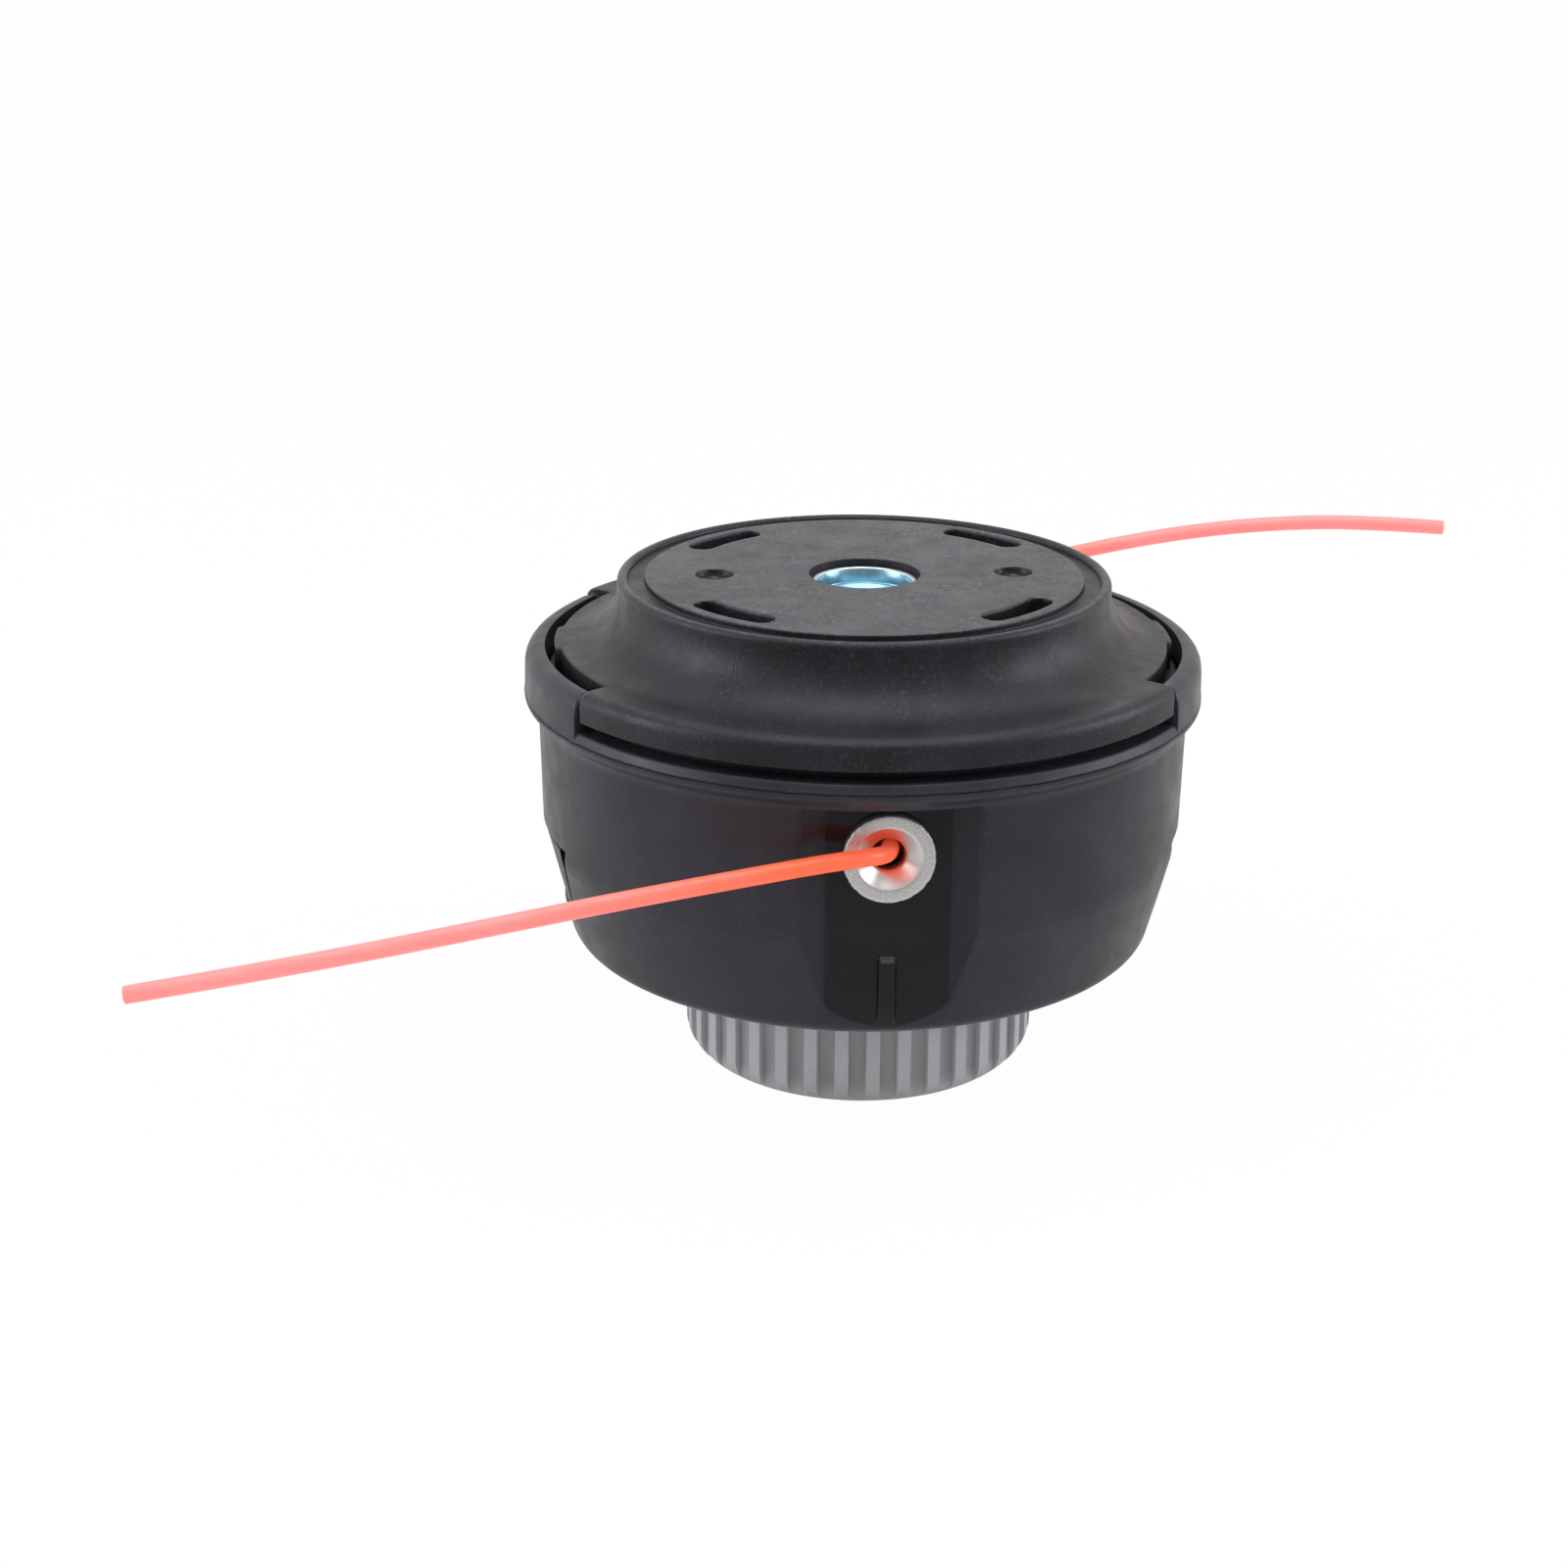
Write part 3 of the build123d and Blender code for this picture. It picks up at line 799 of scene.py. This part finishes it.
def cup_heights(foot_z, flare_z):
    """Heights of the wall's rows, closer together at the window, rib and cone edges."""
    rib_top = cup_z + rib_h
    return spread(np.concatenate([
        np.arange(foot_z + 0.3, window_foot - edge_round, 0.8),
        np.linspace(window_foot - edge_round, window_foot, 4),
        np.arange(window_foot + 1, window_top, 1.0),
        np.arange(rib_top - 1.0, rib_top + 0.6, 0.4),
        np.arange(cone_z - 0.8, cone_z + 0.9, 0.4),
        np.linspace(window_top, window_top + edge_round, 4),
        np.arange(window_top + 1, flare_z, 1.2),
        [eyelet_z - eyelet_barrel_r, eyelet_z + eyelet_barrel_r],
    ]), 0.05)


def lower_cup():
    panel_ranges = [(90 + middle, 4.0, 0.3) for middle in four_ways(12.5)]
    rib_ranges = [(middle, 2.4, 0.2) for middle in (90, 270)]
    ear_ranges = [(middle, 1.6, 0.1) for middle in four_ways(ear_half)]
    window_ranges = [(middle, 0.6, 0.1) for middle in four_ways(window_half)]
    hole_half = np.degrees(eyelet_barrel_r / panel_d)
    hole_ranges = [(90 + middle, 0.2, 0.1) for middle in four_ways(hole_half)]
    split_ranges = [(90 + middle, 0.5, 0.1) for middle in four_ways(split_angle)]
    angles = columns(
        2.0, *panel_ranges, *rib_ranges, *ear_ranges, *window_ranges, *hole_ranges, *split_ranges)
    underside = rounded((opening_r, floor_z), (opening_r, cup_z, 0.5), (foot_r - 3, cup_z))
    foot = rounded((foot_r - 3, cup_z), (foot_r, cup_z, foot_round), (wall_low_r, cone_z), steps=10)[1:-1]
    flare_z = panel_top - 1.2
    heights = cup_heights(foot[-1, 1], flare_z)
    cone_slope = (wall_low_r - foot_r) / (cone_z - cup_z)
    draft = wall_draft / (panel_top - cone_z)
    line_h = [foot[-1, 1], cone_z - 0.8, cone_z + 0.8, panel_top]
    line_r = [foot[-1, 0], wall_low_r - 0.8 * cone_slope, wall_low_r + 0.8 * draft, wall_top_r]
    wall = np.column_stack([np.interp(heights, line_h, line_r), heights])
    flare = refined(rounded(
        (wall_top_r - 1.2 * draft, flare_z),
        (wall_top_r, panel_top + 0.25, 1.3),
        (rim_r - 0.03, rim_z - 1.25, 1.0),
        (rim_r, rim_z - 0.5),
        steps=8,
    ), 0.4)
    seam = np.array([
        (rim_r - 0.22, rim_z - 0.35),
        (rim_r - 0.20, rim_z - 0.2),
        (rim_r, rim_z - 0.12),
        (rim_r, rim_z + 0.02),
    ])
    outer = np.vstack([underside, foot, wall, flare, seam])
    radius, height = spun(outer, len(angles))
    cut = smooth_min(radius, panel_reach(angles) + panel_rib(angles, height), 0.3)
    roof = smooth_step(panel_top - 0.35, panel_top + 0.02, height)
    near_panel = np.abs(side_angle(angles, 90)) < panel_span
    radius = np.where(near_panel, cut + (radius - cut) * roof, radius)
    on_wall = (height > cup_z + 3) & (height < panel_top)
    radius = np.where(on_wall, radius - window_drop(angles, height), radius)
    radius = np.where(height > flare_z + 1, radius + split_line(angles), radius)
    ragged = wobble(angles, 11, 24)
    seam_row = len(outer) - 2
    for row, share in ((seam_row, 1.0), (seam_row + 1, 0.6)):
        radius[row] += flash_out * share * (0.25 + 0.75 * np.clip(ragged, 0, 1)) - 0.04
        height[row] -= 0.10 * share * np.clip(ragged, -0.4, 1)
    lip = rounded((rim_r - 0.08, rim_z + 0.1), (rim_r - lip_in, lip_z, 0.35), (ear_in_r, lip_z))
    ear = rounded(
        (rim_r - 0.08, rim_z + 0.1),
        (rim_r - 0.3, ear_top, ear_round),
        (ear_in_r, ear_top, 0.4),
        (ear_in_r, lip_z),
        steps=10,
    )
    crown_rows = 24
    crown_lip, crown_ear = resampled(lip, crown_rows), resampled(ear, crown_rows)
    rise = ear_height(angles)
    crown_r = crown_lip[:, :1] + (crown_ear[:, :1] - crown_lip[:, :1]) * rise
    crown_h = crown_lip[:, 1:] + (crown_ear[:, 1:] - crown_lip[:, 1:]) * rise
    bore = rounded(
        (ear_in_r - 0.1, lip_z),
        (bore_top_r, lip_z, 0.3),
        (bore_top_r, ledge_z),
        (bore_low_r, ledge_z),
    )
    inner_heights = np.append(heights[::-1], floor_z)
    inner_r = np.interp(inner_heights, [floor_z, cone_z], [foot_r - cup_wall, bore_low_r])
    inside = np.vstack([bore, np.column_stack([inner_r, inner_heights])])
    inside_r, inside_h = spun(inside, len(angles))
    behind = np.minimum(inside_r, panel_reach(angles) - cup_wall)
    inside_r = np.where(near_panel & (inside_h < ledge_z + 0.01), behind, inside_r)
    radius = np.vstack([radius, crown_r, inside_r])
    height = np.vstack([height, crown_h, inside_h])
    first_outer = len(underside) + len(foot)
    last_inner = len(outer) + crown_rows + len(bore) + len(heights) - 1

    def opening(middle, half, low, high):
        rows = [nearest(heights, low), nearest(heights, high)]
        first = nearest(angles, (middle - half) % 360)
        last = nearest(angles, (middle + half) % 360)
        places = [first + k for k in range((last - first) % len(angles))]
        return [first_outer + row for row in rows], [last_inner - row for row in rows], places

    holes = [opening(side, window_half, window_foot, window_top) for side in (0, 180)]
    hole_foot, hole_top = eyelet_z - eyelet_barrel_r, eyelet_z + eyelet_barrel_r
    holes += [opening(side, hole_half, hole_foot, hole_top) for side in (90, 270)]
    drawn_in = window_taper(angles, height)
    shell = grid_points(radius, height, drawn_in), grid_faces(len(radius), len(angles), holes)
    dogs = dog_shells(lower_dog_r, floor_z - 0.05, floor_z + dog_h, 2 * dog_half + 0.6)
    return add_piece(
        "cup_moulding", *joined(shell, *dogs), "housing", "cup_black", cup_black, ["lower_cup"])


# Upper housing

def slot_distance(angles, radius):
    """Distance outside the nearest roof slot."""
    beside = np.abs((angles - slot_angle + 45) % 90 - 45) - slot_half
    along = np.maximum(beside * radians(1) * slot_r, 0)
    return np.hypot(along, np.maximum(np.abs(radius - slot_r) - slot_width(angles), 0))


def slot_width(angles):
    """Half width of the slot at each angle, with rounded corners at its ends."""
    from_end = (slot_half - np.abs((angles - slot_angle + 45) % 90 - 45)) * radians(1) * slot_r
    corner = np.clip(from_end / slot_corner, 0, 1)
    return slot_w / 2 - slot_corner * (1 - np.sqrt(1 - (1 - corner) ** 2))


def mark_sink(angles, radius):
    """Depth of the two round sink marks with their nubs."""
    turn = np.radians(angles)
    away = np.hypot(np.abs(radius * np.cos(turn)) - mark_r, radius * np.sin(turn))
    dish = 1 - smooth_step(mark_d / 2 - 0.25, mark_d / 2, away)
    nub = 1 - smooth_step(mark_nub_d / 2 - 0.1, mark_nub_d / 2 + 0.2, away)
    return mark_depth * (dish - mark_nub_share * nub)


def skirt_share(angles):
    """0 beside the ears, 1 on the skirts, with a rounded edge at each end."""
    limit = ear_half + skirt_end_gap
    inside = (np.abs(side_angle(angles, 0)) - limit) * radians(1) * skirt_r
    corner = np.clip(inside / ear_end_round, 0, 1)
    return np.where(inside < 0, 0, 0.8 + 0.2 * np.sqrt(1 - (1 - corner) ** 2))


def flange_edge(angles):
    """Radius of the flange beside an ear, with the bulge over the latch."""
    across = np.abs(np.sin(np.radians(side_angle(angles, 0)))) * ear_edge_r
    return ear_edge_r + bulge_out * (1 - smooth_step(bulge_half - 0.4, bulge_half + 0.5, across))


def latch_shell(side):
    """Latch tongue behind the cup wall, with the slanted pad that shows in the window."""
    pad_top, pad_foot = window_top - pad_gap, window_foot + pad_gap
    pad_top_r = wall_low_r - pad_gap / 2
    pad_foot_r = pad_top_r - (pad_top - pad_foot) * tan(radians(pad_slant))
    section = rounded(
        (tongue_r - tongue_wall, ledge_z + 0.3),
        (tongue_r, ledge_z + 0.3),
        (tongue_r, pad_top, 0.2),
        (pad_top_r, pad_top, 0.5),
        (max(pad_foot_r, tongue_r - tongue_wall / 2), pad_foot, 0.4),
        (tongue_r - tongue_wall, pad_foot),
    )
    half = np.interp(section[:, 1], [pad_foot, pad_top], [pad_foot_half, pad_half])
    return sector(section, side, half, 24)


def upper_housing():
    mark_reach = 8.0
    mark_ranges = [(side, mark_reach, 0.4) for side in (0, 180)]
    slot_ends = [slot_angle + 90 * k + sign * slot_half for k in range(4) for sign in (-1, 1)]
    slot_ranges = [(middle, 2.5, 0.25) for middle in slot_ends]
    skirt_ranges = [(middle, 1.6, 0.1) for middle in four_ways(ear_half + skirt_end_gap)]
    bulge_ranges = [(middle, 1.0, 0.2) for middle in four_ways(np.degrees(bulge_half / ear_edge_r))]
    angles = columns(2.0, *mark_ranges, *slot_ranges, *skirt_ranges, *bulge_ranges)
    slot_offsets = slot_lip * np.array([-1.0, -0.6, -0.3, 0.0])
    disc_rows = np.concatenate([
        [bore_r + 0.5, 12, 16, 19.5, 20.8],
        np.arange(21.0, 27.75, 0.25),
        [28.2],
        slot_r - slot_w / 2 + slot_offsets,
        slot_r + slot_w / 2 - slot_offsets[::-1],
        [34.4],
    ])
    bore_edge = rounded((bore_r, insert_top), (bore_r, top_z, 0.15), (bore_r + 0.4, top_z))
    disc_top = np.column_stack([disc_rows, np.full(len(disc_rows), top_z)])
    groove_out = disc_r + groove_w
    groove = rounded(
        (disc_r - 0.6, top_z),
        (disc_r, top_z, 0.25),
        (disc_r, top_z - groove_d, 0.25),
        (groove_out, top_z - groove_d, 0.35),
        (groove_out, top_z - ridge_w / 2),
    )
    ridge = arc((ridge_r - ridge_w / 2, top_z - ridge_w / 2), ridge_w / 2, 180, 0, 14)
    cove = arc((cove_mid_r, cove_z), cove_r, 178, 270, 26)
    outer = np.vstack([bore_edge, disc_top, groove, ridge, cove])
    radius, height = spun(outer, len(angles))
    slot_in = len(bore_edge) + nearest(disc_rows, slot_r - slot_w / 2)
    for row in range(slot_in - 3, slot_in + 5):
        side = -1 if row <= slot_in else 1
        extra = abs(outer[row, 0] - slot_r) - slot_w / 2
        radius[row] = slot_r + side * (slot_width(angles) + extra)
    on_disc = slice(len(bore_edge), len(bore_edge) + len(disc_rows))
    away = slot_distance(angles, radius[on_disc])
    height[on_disc] -= slot_lip * (1 - np.clip(away / slot_lip, 0, 1)) ** 2
    height[on_disc] -= mark_sink(angles, radius[on_disc])
    brim_rows = 26
    skirt = resampled(rounded(
        (cove_mid_r + 0.1, flange_z),
        (skirt_r, flange_z, skirt_edge),
        (skirt_r, skirt_z, 0.35),
        (spigot_r, skirt_z),
        steps=8,
    ), brim_rows)
    edge_r = flange_edge(angles)
    edge_rows = resampled(rounded(
        (cove_mid_r + 0.1, flange_z),
        (ear_edge_r, flange_z, 0.35),
        (ear_edge_r, skirt_z),
        (ear_edge_r + 0.01, skirt_z),
    ), brim_rows)
    share = skirt_share(angles)
    stretch = (edge_rows[:, :1] - cove_mid_r) / (ear_edge_r - cove_mid_r)
    flange_r = cove_mid_r + stretch * (edge_r - cove_mid_r)
    brim_r = flange_r + (skirt[:, :1] - flange_r) * share
    brim_h = edge_rows[:, 1:] + (skirt[:, 1:] - edge_rows[:, 1:]) * share
    inner_r = cove_r + dome_wall
    inner_end_r = cove_mid_r - sqrt(inner_r ** 2 - (cove_z - ceiling_z) ** 2)
    start_in = flange_in_r - cove_mid_r
    start_angle = np.degrees(atan2(-sqrt(inner_r ** 2 - start_in ** 2), start_in)) % 360
    end_angle = np.degrees(atan2(ceiling_z - cove_z, inner_end_r - cove_mid_r)) % 360
    spigot = np.array([
        (spigot_r, skirt_z),
        (spigot_r, ledge_z),
        (spigot_in_r, ledge_z),
        (flange_in_r, skirt_z - dome_wall),
    ])
    vault = arc((cove_mid_r, cove_z), inner_r, start_angle, end_angle, 12)
    ceiling = np.array([
        (slot_r + slot_w / 2, ceiling_z),
        (slot_r - slot_w / 2, ceiling_z),
        (dog_r + dog_w / 2, ceiling_z),
        (dog_r + dog_w / 2, dog_tip + dog_h),
        (dog_r - dog_w / 2, dog_tip + dog_h),
        (dog_r - dog_w / 2, ceiling_z),
        (post_r, ceiling_z),
        (post_r, post_foot),
        (post_bore_r, post_foot),
        (post_bore_r, insert_foot),
        (insert_r + 0.05, insert_foot),
        (insert_r + 0.05, insert_top),
    ])
    inside = np.vstack([spigot, vault, ceiling])
    inside_r, inside_h = spun(inside, len(angles))
    first_inner = len(outer) + brim_rows
    slot_out_row = first_inner + len(spigot) + len(vault)
    for row, side in ((slot_out_row, 1), (slot_out_row + 1, -1)):
        inside_r[row - first_inner] = slot_r + side * slot_width(angles)
    radius = np.vstack([radius, brim_r, inside_r])
    height = np.vstack([height, brim_h, inside_h])
    holes = []
    for k in range(4):
        first = nearest(angles, slot_angle + 90 * k - slot_half)
        last = nearest(angles, slot_angle + 90 * k + slot_half)
        holes.append(((slot_in, slot_in + 1), (slot_out_row + 1, slot_out_row), list(range(first, last))))
    shell = grid_points(radius, height, angles), grid_faces(len(radius), len(angles), holes)
    dogs = dog_shells(dog_r, dog_tip, dog_tip + dog_h + 0.05, 3 * dog_half)
    latches = [latch_shell(0), latch_shell(180)]
    return add_piece(
        "housing_moulding", *joined(shell, *latches, *dogs), "housing", "housing_black", housing_black,
        ["upper_housing"])


# Turned metal

def thread_insert():
    """Steel insert: bevelled rim, counterbore, lead-in cone and a left-hand thread."""
    seat = insert_top - counterbore_depth
    thread_top = seat - counterbore_cone
    mouth = rounded(
        (insert_r, insert_foot),
        (insert_r, insert_top, 0.3),
        (counterbore_r + 0.25, insert_top, 0.15),
        (counterbore_r, insert_top - 0.3),
        (counterbore_r, seat, 0.2),
        (counterbore_r - 0.5, seat - 0.05, 0.2),
        (thread_minor_r + thread_depth, thread_top + 0.4),
    )
    turns = np.arange(thread_top, insert_foot, -thread_pitch / 6)
    angles = np.arange(0, 360, 3.0)
    bore = np.column_stack([np.full(len(turns), thread_minor_r), turns])
    profile = np.vstack([mouth, bore, [(thread_minor_r, insert_foot)]])
    radius, height = spun(profile, len(angles))
    rows = slice(len(mouth), len(mouth) + len(turns))
    phase = (height[rows] / thread_pitch + angles / 360) % 1
    radius[rows] += thread_depth * np.abs(2 * phase - 1)
    shell = grid_points(radius, height, angles), grid_faces(len(profile), len(angles))
    return add_piece(
        "drive_insert", *shell, "housing", "zinc_steel", zinc_steel, ["thread_insert"], sharp=50)


def eyelet(name, node, facing):
    """Turned eyelet with a sawn flange, polished countersink and barrel, facing -Y or +Y."""
    flange_back = eyelet_face - eyelet_flange
    angles = np.arange(0, 360, 3.0)
    profile = np.vstack([
        rounded(
            (eyelet_barrel_r, eyelet_back),
            (eyelet_barrel_r, flange_back, 0.1),
            (eyelet_r, flange_back, 0.25),
            (eyelet_r, eyelet_face, 0.55),
            (eyelet_mouth_r, eyelet_face, 0.25),
            (eyelet_hole_r, eyelet_face - eyelet_mouth_depth, 0.5),
            (eyelet_hole_r, eyelet_back, 0.4),
            (eyelet_barrel_r, eyelet_back + 0.001),
        ),
    ])
    profile = refined(profile, 0.6)
    radius, reach = spun(profile, len(angles))
    sawn = wobble(angles, 5, 12) * smooth_step(eyelet_mouth_r + 0.6, eyelet_r, radius)
    radius = radius - 0.10 * np.clip(sawn, 0, 1)
    turn = np.radians(angles)
    across = radius * np.cos(turn) * -facing
    points = np.stack([across, reach * facing, eyelet_z + radius * np.sin(turn)], -1)
    faces = grid_faces(len(profile), len(angles))
    return add_piece(
        name, points.reshape(-1, 3), faces, "housing", "eyelet_aluminium", eyelet_aluminium, [node], sharp=45)


# Knob and spring

def rounded_side(radius, edge, heights):
    """Radius of an upright side at each height above its rounded foot."""
    drop = np.clip(edge - heights, 0, edge)
    return radius - edge + np.sqrt(edge ** 2 - drop ** 2)


def bump_knob():
    """Hollow knob with flat-topped moulded ribs that run out in its rounded foot."""
    half_w = knob_rib_w / 2
    pitch = 360 / knob_ribs
    half_pitch = radians(pitch / 2) * knob_r
    half_rib = np.concatenate([
        [0.0, 0.5 * half_w],
        half_w + np.array([-0.1, -0.05, 0.0, 0.05, 0.1, 0.18]),
        np.linspace(half_w + 0.5, half_pitch, 4),
    ])
    offsets = np.degrees(np.concatenate([-half_rib[-2:0:-1], half_rib]) / knob_r)
    angles = np.sort(np.concatenate([k * pitch + offsets for k in range(knob_ribs)]) % 360)
    across = np.abs((angles + pitch / 2) % pitch - pitch / 2) * radians(1) * knob_r
    rib = 1 - smooth_step(half_w - 0.1, half_w + 0.15, across)
    rib -= knob_scoop * np.clip((across - half_w) / (half_pitch - half_w), 0, 1)
    foot_steps = np.linspace(0, pi / 2, 15)
    foot_heights = knob_rib_round * (1 - np.cos(foot_steps))
    heights = np.concatenate([foot_heights, np.linspace(6.0, knob_body_top, 8)])
    core = rounded_side(knob_core_r, knob_round, heights)
    stand = np.maximum(rounded_side(knob_r, knob_rib_round, heights) - core, 0)
    base = np.array([(0.01, 0.0), (10.0, 0.0), (20.0, 0.0)])
    inner = np.array([
        (knob_core_r - knob_wall, knob_body_top),
        (knob_core_r - knob_wall, knob_floor),
        (sleeve_r, knob_floor),
        (sleeve_r, knob_top - 2.0),
        (sleeve_r + 0.6, knob_top - 2.0),
        (sleeve_r, knob_top),
        (sleeve_r - knob_wall, knob_top),
        (sleeve_r - knob_wall, knob_floor),
        (0.01, knob_floor),
    ])
    profile = np.vstack([base, np.column_stack([core, heights]), inner])
    radius, height = spun(profile, len(angles))
    radius[len(base):len(base) + len(heights)] += stand[:, None] * rib
    shell = grid_points(radius, height, angles), grid_faces(len(profile), len(angles))
    return add_piece("knob_moulding", *shell, "spool", "knob_grey", knob_grey, ["bump_knob"])


def bump_spring():
    """Coil from the spring seat up to the housing's ceiling."""
    steps, sides = spring_turns * 40, 12
    low, high = seat_top + spring_wire_r, ceiling_z - spring_wire_r
    along = np.linspace(0, 1, steps + 1)
    turn = along * spring_turns * 2 * pi
    section = np.linspace(0, 2 * pi, sides, endpoint=False)
    radius = spring_r + spring_wire_r * np.cos(section)[None, :]
    height = (low + (high - low) * along)[:, None] + spring_wire_r * np.sin(section)[None, :]
    points = grid_points(radius, height, np.degrees(turn)[:, None])
    faces = [quad(i, i + 1, j, (j + 1) % sides, sides) for i in range(steps) for j in range(sides)]
    faces.append(tuple(range(sides)))
    faces.append(tuple(steps * sides + j for j in reversed(range(sides))))
    piece = add_piece(
        "coil_spring", points, faces, "housing", "spring_steel", spring_steel, ["bump_spring"])
    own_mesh(piece)
    return piece


# Nylon line ends

def line_end(name, node, route):
    curve = bpy.data.curves.new(name, "CURVE")
    curve.dimensions = "3D"
    spline = curve.splines.new("NURBS")
    spline.points.add(len(route) - 1)
    for point, place in zip(spline.points, route):
        point.co = (*(value * MM for value in place), 1)
    spline.order_u = 3
    spline.use_endpoint_u = True
    spline.resolution_u = 24
    curve.bevel_depth = line_d / 2 * MM
    curve.bevel_resolution = 8
    curve.use_fill_caps = True
    curve.materials.append(nylon_line)
    piece = new_object(name, curve)
    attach(piece, "housing")
    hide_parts(node)
    return piece


# Stage, light and camera

def mix_shaders(tree, factor, first, second):
    mix = tree.nodes.new("ShaderNodeMixShader")
    tree.links.new(factor, mix.inputs["Fac"])
    tree.links.new(first.outputs[0], mix.inputs[1])
    tree.links.new(second.outputs[0], mix.inputs[2])
    return mix


def seen_straight(tree):
    """1 for what the camera sees, also through clear pieces."""
    path = tree.nodes.new("ShaderNodeLightPath")
    straight = math_node(tree, "MAXIMUM", path.outputs["Is Camera Ray"], path.outputs["Is Transmission Ray"])
    return straight, path.outputs["Is Glossy Ray"]


def toward_back(tree, place, front, back, dim):
    """A strength that grows along +Y, from dim at the front to 1 at the back."""
    parts = tree.nodes.new("ShaderNodeSeparateXYZ")
    tree.links.new(place, parts.inputs[0])
    return map_node(tree, parts.outputs["Y"], front, back, dim)


def studio():
    """White round the part, with a dimmer side behind the camera in the reflections."""
    world = bpy.data.worlds.new("studio")
    world.use_nodes = True
    tree = world.node_tree
    soft = tree.nodes["Background"]
    soft.inputs["Strength"].default_value = 0.6
    soft.inputs["Color"].default_value = (1, 1, 1, 1)
    mirrored = tree.nodes.new("ShaderNodeBackground")
    mirrored.inputs["Color"].default_value = (1, 1, 1, 1)
    coordinates = tree.nodes.new("ShaderNodeTexCoord")
    dimmed = toward_back(tree, coordinates.outputs["Generated"], -0.7, 0.3, 0.35)
    tree.links.new(dimmed, mirrored.inputs["Strength"])
    white = tree.nodes.new("ShaderNodeBackground")
    white.inputs["Color"].default_value = (1, 1, 1, 1)
    straight, glossy = seen_straight(tree)
    around = mix_shaders(tree, glossy, soft, mirrored)
    shown = mix_shaders(tree, straight, around, white)
    tree.links.new(shown.outputs[0], tree.nodes["World Output"].inputs["Surface"])
    bpy.context.scene.world = world


def floor():
    """Pale floor that the camera sees as near white, with a faint shadow of the part."""
    size = 6.0
    mesh = bpy.data.meshes.new("floor")
    corners = [(-size, -size, 0), (size, -size, 0), (size, size, 0), (-size, size, 0)]
    mesh.from_pydata(corners, [], [(0, 1, 2, 3)])
    material, tree, surface = shader("floor_white", (0.85, 0.85, 0.85), 0.8)
    glow = tree.nodes.new("ShaderNodeEmission")
    glow.inputs["Strength"].default_value = 1.0
    faint = tree.nodes.new("ShaderNodeMixShader")
    faint.inputs["Fac"].default_value = 0.97
    tree.links.new(surface.outputs[0], faint.inputs[1])
    tree.links.new(glow.outputs[0], faint.inputs[2])
    mirrored = tree.nodes.new("ShaderNodeEmission")
    coordinates = tree.nodes.new("ShaderNodeTexCoord")
    dimmed = toward_back(tree, coordinates.outputs["Object"], -0.3, 0.1, 0.3)
    tree.links.new(dimmed, mirrored.inputs["Strength"])
    straight, glossy = seen_straight(tree)
    around = mix_shaders(tree, glossy, surface, mirrored)
    shown = mix_shaders(tree, straight, around, faint)
    tree.links.new(shown.outputs[0], tree.nodes["Material Output"].inputs["Surface"])
    mesh.materials.append(material)
    plane = new_object("floor", mesh)


def softbox(name, place, size, power):
    """Area lamp that faces the middle of the part."""
    lamp = bpy.data.lights.new(name, "AREA")
    lamp.shape = "RECTANGLE"
    lamp.size, lamp.size_y = size
    lamp.energy = power
    holder = new_object(name, lamp)
    middle = Vector((0, 0, 0.05))
    holder.location = place
    holder.rotation_euler = (middle - Vector(place)).to_track_quat("-Z", "Y").to_euler()


def camera():
    lens = bpy.data.cameras.new("camera")
    lens.sensor_fit = "HORIZONTAL"
    lens.sensor_width = sensor_mm
    lens.lens = lens_mm
    lens.shift_x = shift_x
    lens.clip_start = 0.01
    turn = radians(eye_azimuth)
    flat = Vector((-sin(turn), cos(turn), 0))
    eye = -flat * eye_distance + Vector((0, 0, eye_height))
    forward = flat * cos(eye_pitch) - Vector((0, 0, sin(eye_pitch)))
    right = forward.cross(Vector((0, 0, 1))).normalized()
    up = right.cross(forward)
    tilted_right = right * cos(eye_roll) + up * sin(eye_roll)
    tilted_up = up * cos(eye_roll) - right * sin(eye_roll)
    axes = Matrix((tilted_right, tilted_up, -forward)).transposed()
    holder = new_object("camera", lens)
    holder.matrix_world = Matrix.Translation(eye * MM) @ axes.to_4x4()
    bpy.context.scene.camera = holder


def paint_frame_nodes():
    """Finishes for the frame's own pieces that stay in view."""
    finishes = {
        "spool": spool_black,
        "wound_line_lower": shaded_wound_nylon,
        "wound_line_upper": shaded_wound_nylon,
        "spring_seat": zinc_steel,
    }
    for node, material in finishes.items():
        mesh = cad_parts[node].data
        mesh.materials.clear()
        mesh.materials.append(material)


camera()
line_end("line_end_front", "line_front", front_route)
line_end("line_end_rear", "line_rear", rear_route)
lower_cup()
upper_housing()
thread_insert()
eyelet("eyelet_turned_front", "eyelet_front", -1)
eyelet("eyelet_turned_rear", "eyelet_rear", 1)
bump_knob()
bump_spring()
paint_frame_nodes()
studio()
floor()
softbox("lamp_top", (0.0, -0.1, 0.9), (0.9, 0.7), 4.0)
softbox("lamp_left", (-0.9, -0.1, 0.4), (0.5, 0.6), 4.0)
softbox("lamp_right", (0.9, -0.1, 0.4), (0.5, 0.6), 4.0)
bpy.context.scene.view_settings.view_transform = "Standard"
